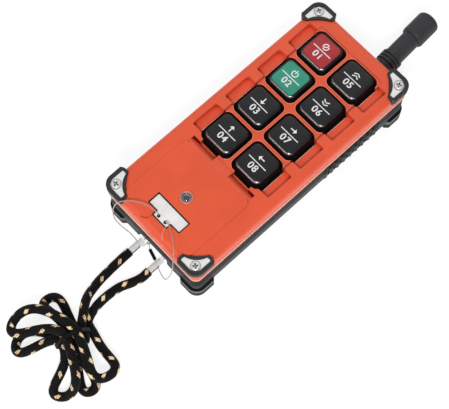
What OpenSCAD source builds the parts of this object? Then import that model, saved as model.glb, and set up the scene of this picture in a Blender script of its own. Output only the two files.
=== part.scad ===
// Hand-held radio transmitter for a crane: a two-shell case with eight keys, a lift-out
// magnetic key, rubber corner bumpers, a stub antenna and a braided lanyard.
// It lies on its back: X across, +Y to the antenna, +Z up, in millimetres.

/* [Case] */
// Width of the face beside the finger notches
face_rim = 4.7; // [4.4:0.1:5.6]
// Distance from the antenna end of the case to the first row of keys
head_l = 17.2; // [17:0.1:18.4]
// Distance from the last row of keys to the lanyard end of the case
handle_l = 54.15; // [53.6:0.05:57]
// Corner radius of the case in plan
case_corner_r = 3; // [2.4:0.1:3.6]
// Height of the rear shell's floor above the surface that the bumpers stand on
floor_z = 1.6; // [1.4:0.1:2]
// Gap between the battery bay and the circuit board
cell_clear = 1.15; // [0.95:0.05:3.2]
// Thickness of the gasket between the shells
gasket_t = 1; // [0.8:0.1:1.3]
// Height of the front shell
front_h = 9.5; // [9.4:0.1:10.4]
// Thickness of the side and end walls
wall = 2.2; // [1.8:0.1:2.3]
// Thickness of the front shell's face
face_t = 2.4; // [2:0.1:2.6]
// Thickness of the rear shell's floor
floor_t = 2.4; // [2:0.1:2.6]
// Radius of the rounded shoulder round the front face
shoulder_r = 3.5; // [2.5:0.1:3.8]
// Bevel along the bottom of the side walls, across
side_bevel_w = 3.4; // [2.4:0.1:3.8]
// Bevel along the bottom of the side walls, up
side_bevel_h = 4.2; // [3:0.1:4.6]
// Bevel along the bottom of the end walls
end_bevel = 1; // [0.6:0.1:1.4]

/* [Keypad] */
// Width of a key at its foot
key_foot = 17.2; // [16.2:0.1:17.4]
// Space between the two columns of keys
key_space_x = 2; // [2:0.1:2.6]
// Space between the rows of keys
key_space_y = 2.15; // [2:0.05:2.8]
// Width of a key at its top
key_top = 14; // [13.4:0.1:14.6]
// Corner radius of a key in plan
key_corner_r = 2.9; // [2.6:0.1:3.8]
// Height of a key above the floor of the well
key_h = 5; // [4.6:0.1:5.6]
// Rounding of a key's top edge
key_edge = 0.9; // [0.6:0.1:1.2]
// How far a key travels when it is pressed
key_travel = 1.5; // [1:0.1:1.7]
// Gap between a key and the edge of its hole
key_gap = 0.3; // [0.2:0.05:0.4]
// Depth of the keypad well
well_depth = 3; // [2.6:0.1:3.2]
// Thickness of the well's floor
well_floor_t = 1.8; // [1.6:0.1:2]
// Width of the well floor left beside the outer keys
well_margin = 1; // [0.8:0.1:1.3]
// How far the webs between the keys stay below the face
web_drop = 0.3; // [0.1:0.1:0.8]
// Width of a finger notch beside the well
notch_w = 4.8; // [4:0.1:5.2]
// Width of the tabs between the finger notches
tab_w = 4.9; // [4:0.1:6]
// Length of the sloped end of the well
ramp_l = 3.8; // [3:0.1:5]
// Gap between the last row of keys and the foot of the slope
ramp_gap = 1.85; // [1.5:0.05:3]
// Width of the full-height block in the middle of the sloped end
ramp_block_w = 10; // [7:0.5:13]

/* [Lower face] */
// Distance of the raised panel from the side walls
panel_inset = 8.2; // [7.6:0.1:11]
// Height of the raised panel
panel_h = 0.4; // [0.2:0.1:0.6]
// Distance of the indicator lens from the lanyard end of the case
led_inset = 21.4; // [20.6:0.1:23.6]
// Diameter of the indicator lens
lens_d = 4.2; // [3.6:0.1:4.6]
// Diameter of the ring round the lens
bezel_d = 6; // [5.4:0.1:6.6]
// Width of the magnetic key's bar
mag_bar_w = 18.8; // [17:0.1:20]
// Length of the magnetic key's bar along the case
mag_bar_l = 5.6; // [5:0.1:6]
// Width of the magnetic key's tab
mag_tab_w = 8.2; // [7:0.1:9]
// Length of the magnetic key's tab along the case
mag_tab_l = 2.6; // [2.4:0.1:3]
// Thickness of the magnetic key
mag_t = 2.7; // [2.6:0.1:3]
// Depth of the magnetic key's recess
mag_depth = 2.6; // [2.4:0.1:2.8]
// Gap round the magnetic key
mag_gap = 0.4; // [0.2:0.05:0.6]
// Distance of the magnetic key's bar from the lanyard end of the case
mag_inset = 11.3; // [10.9:0.1:12.1]
// Distance between the two tether holes
tether_hole_pitch = 4.1; // [3.4:0.1:4.6]
// Diameter of the tether holes
tether_hole_d = 1.4; // [1.3:0.05:1.5]

/* [Bumpers] */
// How far the bumpers stand out from the case
bumper_out = 1.2; // [0.9:0.1:1.6]
// Height of an upper bumper's foot above the gasket
bumper_seat = 5.1; // [4.6:0.1:5.4]
// How far an upper bumper stands above the face
bumper_rise = 0.9; // [0.6:0.1:1.2]
// Length of an upper bumper's straight sides from the corner
bumper_arm = 11.2; // [10.2:0.1:11.6]
// Corner radius of the upper bumpers
bumper_r = 5.2; // [3.8:0.1:5.8]
// Setback of each step on an upper bumper's side
bumper_setback = 0.45; // [0.3:0.05:0.5]
// Width of the black rim round the corner plate
rim_w = 1.9; // [1.7:0.1:2.4]
// Thickness of the corner plates
plate_t = 1.2; // [0.8:0.1:1.4]
// Height of a lower bumper
foot_h = 8; // [7:0.1:8.6]
// Wall thickness of a lower bumper
foot_t = 3.8; // [3.4:0.1:4]
// Length of a lower bumper along the case's side
foot_arm_l = 12.2; // [11:0.1:18]
// Length of a lower bumper along the case's end
foot_arm_w = 12; // [11:0.1:14]
// Corner radius of the lower bumpers
foot_r = 5; // [4:0.1:6]

/* [Fasteners] */
// Distance of the corner screws from the side and the end of the case
screw_inset = 3.4; // [3.2:0.1:3.8]
// Diameter of the corner screws
screw_d = 3; // [2.5:0.1:3.2]
// Diameter of the corner screws' heads
screw_head_d = 5; // [4.6:0.1:5.4]
// Height of the corner screws' heads
screw_head_h = 0.9; // [0.7:0.1:1.1]
// Length of the corner screws under their heads
screw_l = 20; // [18:0.5:20.5]
// Diameter of the board screws
board_screw_d = 2; // [1.6:0.1:2.2]
// Diameter of the board screws' heads
board_head_d = 3.8; // [3.4:0.1:4.2]

/* [Inside] */
// Thickness of the circuit board
board_t = 1.6; // [1.2:0.1:1.6]
// Gap between the circuit board and each side wall
board_side_gap = 3.5; // [2.6:0.1:3.8]
// Gap between the circuit board and each end wall
board_end_gap = 6.5; // [6.1:0.1:6.9]
// Thickness of the keypad membrane
membrane_t = 0.7; // [0.5:0.1:0.9]
// Diameter of a key's post
post_d = 4; // [3.4:0.1:4.4]
// Outer diameter of a membrane collar
collar_d = 6.6; // [6.2:0.1:7.4]
// Diameter of an AA cell
cell_d = 14.5; // [14.3:0.1:14.6]
// Length of an AA cell
cell_l = 50.5; // [50:0.1:50.6]
// Room for a battery spring at each end of the cells
spring_l = 1.85; // [1.7:0.05:2.3]
// Gap between the battery cover and the lanyard recess
cover_gap = 3.6; // [3.2:0.1:4]
// Wall round the battery bay
bay_wall = 1.5; // [1.2:0.1:1.8]
// Thickness of the battery cover
cover_t = 1.6; // [1.4:0.1:1.8]
// Width of the ledge that the battery cover seats on
cover_ledge = 2.6; // [2.4:0.1:3.2]
// Diameter of the battery cover screws' heads
coin_head_d = 7; // [6:0.1:7.4]
// Diameter of the battery cover screws
coin_d = 3; // [2.5:0.1:3.4]

/* [Antenna] */
// Distance of the antenna from the middle line
antenna_x = 9.9; // [8:0.1:11]
// Height of the antenna's axis above the rest plane
antenna_z = 14.4; // [13.6:0.1:14.4]
// How far the antenna leans over, in degrees
antenna_lean = 3.5; // [0:0.5:6]
// Diameter of the antenna's foot
antenna_foot_d = 9.6; // [9:0.1:10]
// Length of the antenna's foot
antenna_foot_l = 6; // [5:0.1:8]
// Diameter of the rings on the antenna
ring_d = 10.7; // [10:0.1:11.4]
// Distance between the rings
ring_pitch = 1.9; // [1.6:0.1:2.4]
// Diameter of the antenna's stem
stem_d = 9.2; // [8.4:0.1:9.4]
// Length of the stem with its rings
stem_l = 17.9; // [15:0.1:24]
// Diameter of the antenna's cap
cap_d = 11.3; // [10.4:0.1:12]
// Length of the antenna's cap
cap_l = 13.8; // [11:0.1:18]
// Diameter of the antenna's threaded neck
neck_d = 6.4; // [5.6:0.1:6.8]

/* [Side grips] */
// Number of lobes on each side
grip_count = 9; // [5:1:9]
// Distance between the lobes
grip_pitch = 3.9; // [3.6:0.1:4]
// Distance of the first lobe from the antenna end of the case
grip_inset = 18.7; // [18.7:0.1:20.7]
// Radius of a lobe
grip_r = 1.7; // [1.4:0.1:1.8]
// How far a lobe stands out from the case
grip_out = 0.4; // [0.2:0.1:0.8]

/* [Lanyard] */
// Diameter of the lanyard cord
cord_d = 4.3; // [4:0.1:4.5]
// Diameter of the bar that the lanyard hangs on
bar_d = 2; // [1.8:0.1:2.2]
// Height of the bar above the rest plane
bar_z = 4; // [3.8:0.1:4.4]
// Distance of the bar from the end of the case
bar_inset = 2.2; // [2:0.1:2.6]
// Width of the lanyard recess
recess_w = 19; // [17:0.5:20]
// Depth of the lanyard recess
recess_depth = 7.6; // [7.5:0.1:8]
// Height of the lanyard recess above the rest plane
recess_top = 8.6; // [8:0.1:9.4]
// Distance of each ferrule from the middle line
ferrule_x = 6.3; // [5.8:0.1:6.6]
// Diameter of a ferrule
ferrule_d = 3; // [2.6:0.1:3.4]
// Diameter of the magnetic key's tether
tether_d = 0.5; // [0.45:0.05:0.75]

/* [Hidden] */
$fn = 64;

// Overrun of every cut, and the clearances that the fits share
cut = 1;
fit = 0.1;
soft_gap = 0.3;
thread_gap = 0.1;

// From the battery cover up to the cells, and on to the keypad well: this sets the rear shell's height
seal_t = 0.6;
flange_t = 1;
flange_clear = 0.4;
cover_top_z = floor_z + cover_t;
ledge_z = cover_top_z + seal_t;
cell_z = ledge_z + soft_gap + cell_d / 2;
bay_top_z = cell_z + cell_d / 2 + soft_gap / 2;
board_z = bay_top_z + cell_clear;
board_top_z = board_z + board_t;
membrane_top_z = board_top_z + membrane_t;
flange_z = membrane_top_z + flange_clear + key_travel;
flange_top_z = flange_z + flange_t;
rear_h = flange_top_z + fit + well_floor_t + well_depth - front_h - gasket_t - floor_z;

// Heights of the stacked layers
parting_z = floor_z + rear_h;
front_z = parting_z + gasket_t;
top_z = front_z + front_h;
well_z = top_z - well_depth;
well_ceiling_z = well_z - well_floor_t;
face_ceiling_z = top_z - face_t;
floor_top_z = floor_z + floor_t;

// The keys' pattern sets the width and the length of the case
key_rows = 4;
key_pitch_x = key_foot + key_space_x;
key_pitch_y = key_foot + key_space_y;
well_x = key_pitch_x / 2 + key_foot / 2 + well_margin;
notch_reach = well_x + notch_w;
case_w = 2 * (notch_reach + face_rim);
case_l = head_l + (key_rows - 1) * key_pitch_y + handle_l;

// Half sizes of the case and of the screw pattern
case_x = case_w / 2;
case_y = case_l / 2;
inner_x = case_x - wall;
inner_y = case_y - wall;
screw_x = case_x - screw_inset;
screw_y = case_y - screw_inset;
post_r = screw_inset + wall / 2;

// The place of each key: column and row
KEY_PLACES = [[0, 0], [0, 1], [0, 2], [0, 3], [1, 0], [1, 1], [1, 2], [1, 3]];
key_first_y = case_y - head_l;
function key_x(column) = (column - 1 / 2) * key_pitch_x;
function key_y(row) = key_first_y - row * key_pitch_y;
last_key_y = key_y(key_rows - 1);

// Key sizes that follow from the well and the board
key_hole = key_foot + 2 * key_gap;
key_hole_r = key_corner_r + key_gap;
key_top_z = well_z + key_h;
flange_w = key_hole + flange_t;
face_w = key_top - 0.8 * key_edge;
key_face_t = 0.8;
key_face_r = key_corner_r - key_edge;
key_wall = 1.2;
key_roof = 1;
key_cavity = key_top - 2 * key_wall;
key_cavity_top_z = key_top_z - key_face_t - key_roof;

// Board, membrane and what stands on them
board_w = 2 * (inner_x - board_side_gap);
board_l = 2 * (inner_y - board_end_gap);
post_stop = 0.15;
post_z = board_top_z + key_travel + post_stop;
collar_h = 3.9;
membrane_margin = 0.9;
boss_r = 2;
boss_x = board_w / 2 - boss_r - fit;
boss_inset = 18.7;
boss_low_y = -case_y + boss_inset;
boss_high_y = key_first_y - key_pitch_y / 2;

// The keypad well
well_top_y = key_first_y + key_foot / 2 + well_margin;
well_low_y = last_key_y - key_foot / 2 - ramp_gap;
web_x = well_x - well_margin;
notch_l = key_pitch_y - tab_w;
notch_r = 0.8;

// The raised panel below the keypad
panel_top_y = well_low_y - ramp_l;
panel_low_y = -case_y + shoulder_r;
panel_w = case_w - 2 * panel_inset;
led_y = -case_y + led_inset;
panel_r = 3;

// The magnetic key and the two magnet seats
mag_y = -case_y + mag_inset;
mag_floor_t = 1.6;
mag_floor_z = top_z - mag_depth;
mag_tab_y = mag_y - mag_bar_l / 2 - mag_tab_l / 2;
mag_lug = 1;
magnet_w = 12;
magnet_l = 3;
magnet_t = 1.2;
tether_groove_d = 0.9;

// Upper bumpers: tips, arc toward the case, and steps down the side
bumper_x = case_x + bumper_out;
bumper_y = case_y + bumper_out;
bumper_z = front_z + bumper_seat;
bumper_top_z = top_z + bumper_rise;
bumper_tip = [1.7, 1.1];
bumper_tip_in = [4, 1];
bumper_arc_r = 26.6;
bumper_arc_sag = 0.65;
bumper_step_h = 1.2;
plate_arm = bumper_arm - 1.2 * rim_w;
plate_tip = [1, 0.2];
plate_tip_in = [2.1, 0];
plate_arc_r = 9.9;
plate_arc_sag = 1.25;
plate_drop = 0.4;
plate_top_z = bumper_top_z - plate_drop;
plate_z = plate_top_z - plate_t;
head_sink = 0.4;
head_z = plate_top_z - head_sink;
slot_w = 0.7;
slot_depth = 0.5;

// Lower bumpers
foot_bevel = 1.6;
foot_ledge_h = 1.4;
foot_ledge_w = 1;
foot_band_z = 2.6;
foot_band_h = 1.2;
foot_band_depth = 0.4;
foot_wall = 1.6;

// Battery bay and cover
contact_t = 0.4;
bay_w = 2 * cell_d + 2 * soft_gap;
bay_l = cell_l + 2 * (spring_l + contact_t);
cell_x = cell_d / 2 + soft_gap / 3;
seal_w = 1.6;
ledge_t = 1.8;
cover_end = 9;
cover_w = bay_w + 2 * cover_ledge;
cover_l = bay_l + 2 * cover_end;
cover_r = 3;
coin_y = bay_l / 2 + cover_end / 2 + seal_w / 2;
coin_head_t = 0.9;
coin_thread_l = 5;
coin_pad_r = coin_d / 2 + wall;
contact_w = 12;
nub_d = 5.5;
nub_l = 1;
spring_d = 7;

// Antenna: places along its own axis, which starts at the end wall
antenna_core_d = 3;
antenna_nut_d = 9;
antenna_nut_t = 2;
neck_in = wall + antenna_nut_t + 1;
ring_w = 1.2;
ring_count = 3;
cap_round = 1.8;
lean_gap = stem_d / 2 * sin(antenna_lean) + fit;
antenna_end = lean_gap + stem_l + cap_l;
antenna_reach = antenna_foot_l + (antenna_end - cap_round) * cos(antenna_lean)
    + (cap_d / 2 - cap_round) * sin(antenna_lean) + cap_round;

// The origin lies under the middle of the case and antenna together
row_y = (bumper_y - case_y - antenna_reach) / 2;

// Lanyard hardware
bar_y = -case_y + bar_inset;
bar_grip = 1.8;
recess_x = recess_w / 2;
recess_y = -case_y + recess_depth;
bay_y = recess_y + cover_gap + cover_end + bay_l / 2;
eye_wire = 1.1;
eye_r = 2.1;
eye_drop = 0.45;
ferrule_z = 2.5;
ferrule_end_y = -72.8;
ring_wire = 0.7;
ring_r = 2.25;
ring_drop = 0.75;
ring_x = -3.5;

// The hank: middle of its waist, turn of its axis, and the layers that its strands pass the waist in
hank_at = [7.8, -117.3];
hank_turn = -15;
cord_rest_z = 2.25;
waist_layer = [3.2, 8, 12.8];
loop_rings = 24;
lobe_share = 0.65;
// Places where a strand passes the waist: along it and in which layer
slot_start = [2.4, 0];
slot_a = [-0.7, 1];
slot_b = [-3, 0];
slot_c = [-5.5, 1];
slot_d = [-2.9, 2];
slot_e = [2.2, 2];
slot_end = [8.6, 0];
// Each loop: tip along and across the axis, height of the tip, half width,
// the slots that it leaves and enters, how late it drops and rises, and the side it runs out on
HANK_LOOPS = [
    [[-22.6, -2.3], 2.25, 2.7, slot_start, slot_a, 1, 5, -1],
    [[23.2, -3.5], 2.25, 2.6, slot_a, slot_b, 1.5, 1, 1],
    [[-10.5, -23.5], 2.25, 4.4, slot_b, slot_c, 1, 4, -1],
    [[19.5, -15.5], 2.25, 4.2, slot_c, slot_d, 2, 6, -1],
    [[-18.5, -20.5], 7.4, 4.7, slot_d, slot_e, 3, 6, 1],
    [[22, 5.5], 7.8, 3, slot_e, slot_end, 2, 3, -1]
];
// The first turn, which tucks the left strand under the others
hank_hook = [
    [-7.2, 8.1, 8.1], [-3.6, 5.6, 8.1], [-1.2, 4.9, 8.1], [0.8, 4.8, 8.1], [2.3, 4.4, 7.2],
    [2.9, 3.7, 5.6], [2.4, 2.8, 4.1], [1.3, 2.5, 3.3]
];
tie_w = 1.6;
tie_t = 0.55;
tie_gap = 0.45;
hank_sides = 6;

// One loop by its own formula: out along the axis with a half sine, across it with its square
function unit(v) = v / norm(v);
function ease(t) = t - sin(360 * t) / (2 * PI);
function loop_point(loop, t) =
    let (
        middle = (loop[3][0] + loop[4][0]) / 2,
        reach = [loop[0][0], loop[0][1] - middle],
        side = unit([-reach[1], reach[0]]),
        out = sin(180 * t),
        lobe = loop[7] * loop[2] / lobe_share * sin(360 * t) * out * out,
        slot = t < 1 / 2 ? loop[3] : loop[4],
        slot_z = waist_layer[slot[1]],
        late = t < 1 / 2 ? loop[5] : loop[6],
        start = loop[3][0]
    )
    [
        reach[0] * out + side[0] * lobe,
        start + (loop[4][0] - start) * ease(t) + reach[1] * out * out + side[1] * lobe,
        slot_z + (loop[1] - slot_z) * pow(out, late)
    ];
function hank_place(p) = [
    hank_at[0] + p[0] * cos(hank_turn) - p[1] * sin(hank_turn),
    hank_at[1] + p[0] * sin(hank_turn) + p[1] * cos(hank_turn),
    p[2]
];
last_loop = HANK_LOOPS[len(HANK_LOOPS) - 1];
HANK_ROUTE = [
    for (p = hank_hook) hank_place(p),
    for (loop = HANK_LOOPS, i = [0 : loop_rings - 1])
        if (loop != last_loop || i < loop_rings - 1) hank_place(loop_point(loop, i / loop_rings)),
    hank_place(loop_point(last_loop, 1))
];
// Least gap of the hank's cord to itself, measured between rings that are not neighbours
near_rings = 6;
hank_gap = min([
    for (i = [0 : len(HANK_ROUTE) - 1], j = [i + near_rings : 1 : len(HANK_ROUTE) - 1])
        norm(HANK_ROUTE[i] - HANK_ROUTE[j])
]) - cord_d;
echo(least_gap_of_the_hank_mm = hank_gap);

// Routes of the free cords, in the frame of the case; each strand runs straight into the hank
function into(end, next) = [end - cord_d * unit(next - end), end];
hank_first = HANK_ROUTE[0];
hank_last = HANK_ROUTE[len(HANK_ROUTE) - 1];
strand_left_route = concat([
    [-6.3, -72.8, 2.5], [-6.3, -77.2, 2.5], [-6.1, -84, 2.2], [-5.6, -91, 2.2],
    [-4.6, -95.8, 2.8], [-3.3, -99.2, 4.8], [-1.7, -101.9, 7]
], into(hank_first, HANK_ROUTE[1]));
strand_right_route = concat([
    [6.3, -72.8, 2.5], [6.3, -77.2, 2.5], [4.8, -82, 2.2], [3, -86.6, 2.2], [2.2, -91.6, 2.2],
    [2.1, -97, 2.2], [2.7, -101.6, 2.3], [4, -105.4, 2.8]
], into(hank_last, HANK_ROUTE[len(HANK_ROUTE) - 2]));
crimp_from = [-1.3, -65.4, 1.4];
crimp_to = [3.8, -66.8, 0.9];
crimp_d = 1.5;
crimp_lead = tether_d * unit(crimp_to - crimp_from);
tether_route = [
    crimp_to, crimp_to + crimp_lead, [5.7, -67.4, 0.5], [8.4, -68.6, 0.5], [11.4, -69.6, 0.8],
    [13.6, -69.9, 1.8], [15, -69.4, 5], [16.2, -68.6, 11], [17, -67.8, 18], [17.3, -67.2, 24],
    [16.9, -66.6, 28.4], [15.6, -64.9, 31], [13.7, -63, 32], [9.4, -60, 32.6], [5.6, -58, 32.6],
    [3.4, -57.4, 32.2], [2.3, -57.5, 31.2], [2.05, -57.5, 30], [2.05, -57.5, 28.6], [1.5, -57.5, 27.85],
    [-1.5, -57.5, 27.85], [-2.05, -57.5, 28.6], [-2.05, -57.5, 30], [-2.3, -57.5, 31.2],
    [-3.6, -57.4, 32.2], [-7, -58, 32.6], [-11.5, -59.9, 32.6], [-15, -62.6, 32.4], [-17.4, -65.4, 31.9],
    [-18.6, -66.9, 29.8], [-19.8, -67.7, 25.4], [-20.8, -68.1, 19.6], [-21.6, -68.2, 12], [-21.5, -68, 6],
    [-20.2, -67.6, 2.2], [-17.6, -67.2, 0.8], [-13.4, -66.6, 0.5], [-9.4, -66.7, 0.5], [-6.3, -66.9, 0.5],
    [-4.7, -66.4, 0.9], [-4.3, -65.4, 2.2], [-4.1, -64.5, 3], [-3.5, -64.3, 3.2], [-2.9, -64.3, 3],
    [-2.3, -64.7, 2.3], crimp_from - crimp_lead, crimp_from
];

// Puts a shape made in the frame of the case where the origin asks
module in_case() {
    translate([0, row_y, 0])
        children();
}

// Repeats a shape made for the corner at +X +Y in one named corner, or in all four
module corner(side, end) {
    mirror([side < 0 ? 1 : 0, 0, 0])
        mirror([0, end < 0 ? 1 : 0, 0])
            children();
}

module every_corner() {
    for (side = [-1, 1], end = [-1, 1])
        corner(side, end)
            children();
}

// Plan of a rectangle with round corners
module round_rect(w, l, r) {
    square([w - 2 * r, l], center = true);
    square([w, l - 2 * r], center = true);
    for (x = [-1, 1], y = [-1, 1])
        translate([x * (w / 2 - r), y * (l / 2 - r)])
            circle(r);
}

// Plan of the whole case, drawn in by a given amount
module case_plan(inset = 0) {
    round_rect(case_w - 2 * inset, case_l - 2 * inset, max(case_corner_r - inset, fit));
}

// Plan of a corner piece: round outer corner, two short tips and an arc toward the case
module corner_plan(x, y, inset, r, arm, tip, tip_in, arc_r, arc_sag) {
    chord_x = x - (arm + tip_in[1] + tip_in[0]) / 2;
    chord_y = y - (arm + tip_in[1] + tip_in[0]) / 2;
    arc_back = (arc_r - arc_sag) / sqrt(2);
    difference() {
        intersection() {
            union() {
                square([x - inset - r, y - inset]);
                square([x - inset, y - inset - r]);
                translate([x - inset - r, y - inset - r])
                    circle(r);
            }
            polygon([
                [x, y], [x, y - arm], [x - tip[0], y - arm - tip[1]],
                [x - tip_in[0], y - arm - tip_in[1]], [x - arm - tip_in[1], y - tip_in[0]],
                [x - arm - tip[1], y - tip[0]], [x - arm, y]
            ]);
        }
        translate([chord_x - arc_back, chord_y - arc_back])
            circle(arc_r);
    }
}

module bumper_plan(inset = 0, grow = 0) {
    corner_plan(bumper_x + grow, bumper_y + grow, inset, bumper_r + grow - inset, bumper_arm + 2 * grow,
        bumper_tip, bumper_tip_in + [2 * grow, 0], bumper_arc_r, bumper_arc_sag);
}

module plate_plan(grow = 0) {
    corner_plan(bumper_x - rim_w + grow, bumper_y - rim_w + grow, 0, bumper_r - rim_w + grow,
        plate_arm + 2 * grow, plate_tip, plate_tip_in + [2 * grow, 0], plate_arc_r, plate_arc_sag);
}

// Cuts a rounded shoulder along one straight top edge that runs along Y
module shoulder_cut(length) {
    translate([-shoulder_r, 0, -shoulder_r])
        rotate([90, 0, 0])
            linear_extrude(length, center = true)
                difference() {
                    square(shoulder_r + cut);
                    circle(shoulder_r);
                }
}

// A bar along Y with a triangular section, for bevels and slopes
module wedge(length, points) {
    rotate([90, 0, 0])
        linear_extrude(length, center = true)
            polygon(points);
}

// Every corner screw's hole through one layer
module screw_holes(d, z, h) {
    for (x = [-1, 1], y = [-1, 1])
        translate([x * screw_x, y * screw_y, z])
            cylinder(h = h, d = d);
}

// The keys' places in the frame of the case
module every_key() {
    for (place = KEY_PLACES)
        translate([key_x(place[0]), key_y(place[1]), 0])
            children();
}

module board_bosses_at() {
    for (x = [-1, 1], y = [boss_low_y, boss_high_y])
        translate([x * boss_x, y, 0])
            children();
}

// The well's plan: key field with a notch beside each outer key
module well_plan() {
    translate([-well_x, well_low_y])
        square([2 * well_x, well_top_y - well_low_y]);
    for (row = [0 : key_rows - 1])
        translate([0, key_y(row)])
            round_rect(2 * notch_reach, notch_l, notch_r);
}

// The webs between the keys, before the key holes are cut
module web_plan() {
    translate([-web_x, last_key_y - key_foot / 2])
        square([2 * web_x, (key_rows - 1) * key_pitch_y + key_foot]);
}

module key_hole_plan() {
    round_rect(key_hole, key_hole, key_hole_r);
}

module well_cut() {
    difference() {
        translate([0, 0, well_z])
            linear_extrude(well_depth + cut)
                well_plan();
        linear_extrude(top_z - web_drop)
            web_plan();
    }
    // the sloped end, on both sides of the block in the middle
    for (side = [-1, 1])
        translate([side * (well_x + ramp_block_w / 2) / 2, well_low_y, 0])
            rotate([0, 0, -90])
                wedge(well_x - ramp_block_w / 2, [
                    [-fit, well_z], [ramp_l, top_z], [ramp_l, top_z + cut], [-fit, top_z + cut]
                ]);
}

module magnetic_key_plan(grow = 0) {
    translate([0, mag_y])
        square([mag_bar_w + 2 * grow, mag_bar_l + 2 * grow], center = true);
    translate([0, mag_tab_y])
        square([mag_tab_w + 2 * grow, mag_tab_l + 2 * grow], center = true);
}

// Hollow of the front shell, with the screw posts, board bosses and key recess left standing
module front_hollow() {
    difference() {
        union() {
            translate([0, 0, front_z - cut])
                linear_extrude(well_ceiling_z - front_z + cut)
                    case_plan(wall);
            intersection() {
                translate([0, 0, front_z])
                    linear_extrude(face_ceiling_z - front_z)
                        case_plan(wall);
                translate([-case_x, -case_y, 0])
                    cube([case_w, case_y + panel_top_y - wall, top_z]);
            }
        }
        screw_holes(2 * post_r, 0, top_z);
        board_bosses_at()
            translate([0, 0, board_top_z])
                cylinder(r = boss_r, h = top_z - board_top_z);
        translate([0, 0, mag_floor_z - mag_floor_t])
            linear_extrude(top_z - mag_floor_z)
                magnetic_key_plan(mag_gap + mag_lug);
    }
}

module front_shell() {
    color("orangered")
        in_case()
            difference() {
                union() {
                    difference() {
                        translate([0, 0, front_z])
                            linear_extrude(front_h)
                                case_plan();
                        for (side = [0, 180])
                            rotate([0, 0, side])
                                translate([case_x, 0, top_z])
                                    shoulder_cut(case_l + cut);
                        for (end = [90, 270])
                            rotate([0, 0, end])
                                translate([case_y, 0, top_z])
                                    shoulder_cut(case_w + cut);
                    }
                    translate([0, (panel_top_y + panel_low_y) / 2, face_ceiling_z])
                        linear_extrude(face_t + panel_h)
                            round_rect(panel_w, panel_top_y - panel_low_y, panel_r);
                }
                front_hollow();
                well_cut();
                every_key()
                    translate([0, 0, well_ceiling_z - cut])
                        linear_extrude(well_depth + well_floor_t + 2 * cut)
                            key_hole_plan();
                translate([0, led_y, face_ceiling_z - cut])
                    cylinder(h = face_t + panel_h + 2 * cut, d = bezel_d + fit);
                translate([0, 0, mag_floor_z])
                    linear_extrude(mag_depth + panel_h + cut)
                        magnetic_key_plan(mag_gap);
                every_corner()
                    translate([0, 0, bumper_z])
                        linear_extrude(top_z)
                            bumper_plan(0, fit);
                screw_holes(screw_d + 2 * thread_gap, front_z - cut, front_h + 2 * cut);
                board_bosses_at()
                    translate([0, 0, board_top_z - cut])
                        cylinder(d = board_screw_d + 2 * thread_gap, h = well_ceiling_z - board_top_z + cut);
            }
}

// Section of the bevels under the side and end walls
module bottom_bevels() {
    for (side = [0, 180])
        rotate([0, 0, side])
            translate([case_x, 0, floor_z])
                wedge(case_l + cut, [
                    [-side_bevel_w, 0], [-side_bevel_w, -cut], [cut, -cut], [cut, side_bevel_h], [0, side_bevel_h]
                ]);
    for (end = [90, 270])
        rotate([0, 0, end])
            translate([case_y, 0, floor_z])
                wedge(case_w + cut, [[-end_bevel, 0], [-end_bevel, -cut], [cut, -cut], [cut, end_bevel], [0, end_bevel]]);
}

// Plan of a lower bumper's wall, grown for the pocket that it sits in
module foot_plan(inset = 0, grow = 0, back = 0) {
    x = case_x + bumper_out;
    y = case_y + bumper_out;
    t = foot_t + grow + back;
    end_x = x - foot_arm_w - grow - back;
    end_y = y - foot_arm_l - grow - back;
    bevel = foot_bevel;
    intersection() {
        union() {
            square([x - inset - foot_r, y - inset]);
            square([x - inset, y - inset - foot_r]);
            translate([x - inset - foot_r, y - inset - foot_r])
                circle(foot_r);
        }
        polygon([
            [x, y], [x, end_y + bevel], [x - bevel, end_y], [x - t, end_y],
            [x - t, y - t], [end_x, y - t], [end_x, y - bevel], [end_x + bevel, y]
        ]);
    }
}

// Plan of a lower bumper's sole under the corner of the case
module sole_plan() {
    x = case_x + bumper_out;
    y = case_y + bumper_out;
    foot_plan();
    polygon([
        [x - foot_t, y - foot_arm_l], [x - foot_t / 2, y - foot_t], [x - foot_t, y - foot_t / 2],
        [x - foot_arm_w, y - foot_t]
    ]);
}

// Hollow of the rear shell, with what stands on its floor left out
module rear_hollow() {
    difference() {
        translate([0, 0, floor_top_z])
            linear_extrude(rear_h)
                case_plan(wall);
        screw_holes(2 * post_r, 0, top_z);
        every_corner()
            linear_extrude(foot_h + fit + foot_wall)
                foot_plan(0, fit, foot_wall);
        // walls of the battery bay and the ledge round its mouth
        translate([0, bay_y, 0]) {
            linear_extrude(bay_top_z)
                round_rect(bay_w + 2 * bay_wall, bay_l + 2 * bay_wall, bay_wall);
            linear_extrude(ledge_z + ledge_t)
                round_rect(cover_w + 2 * wall, cover_l + 2 * wall, cover_r + wall);
            for (end = [-1, 1])
                translate([0, end * coin_y, 0])
                    cylinder(r = coin_pad_r, h = cover_top_z + seal_t + coin_thread_l + wall);
        }
        // housing of the lanyard recess
        translate([-recess_x - wall, -case_y, 0])
            cube([recess_w + 2 * wall, recess_depth + foot_wall, recess_top + foot_wall]);
    }
}

module grip_recess() {
    length = (grip_count - 1) * grip_pitch + 2 * grip_r;
    depth = grip_r - grip_out;
    for (side = [-1, 1])
        translate([side * case_x, case_y - grip_inset + grip_r - length / 2, floor_z])
            translate([-depth, -length / 2, side_bevel_h])
                cube([2 * depth, length, rear_h]);
}

module grip_lobes() {
    lobe_z = floor_z + side_bevel_h;
    for (side = [-1, 1], i = [0 : grip_count - 1])
        translate([side * (case_x + grip_out - grip_r), case_y - grip_inset - i * grip_pitch, lobe_z])
            cylinder(r = grip_r, h = parting_z - lobe_z - slot_w);
}

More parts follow.
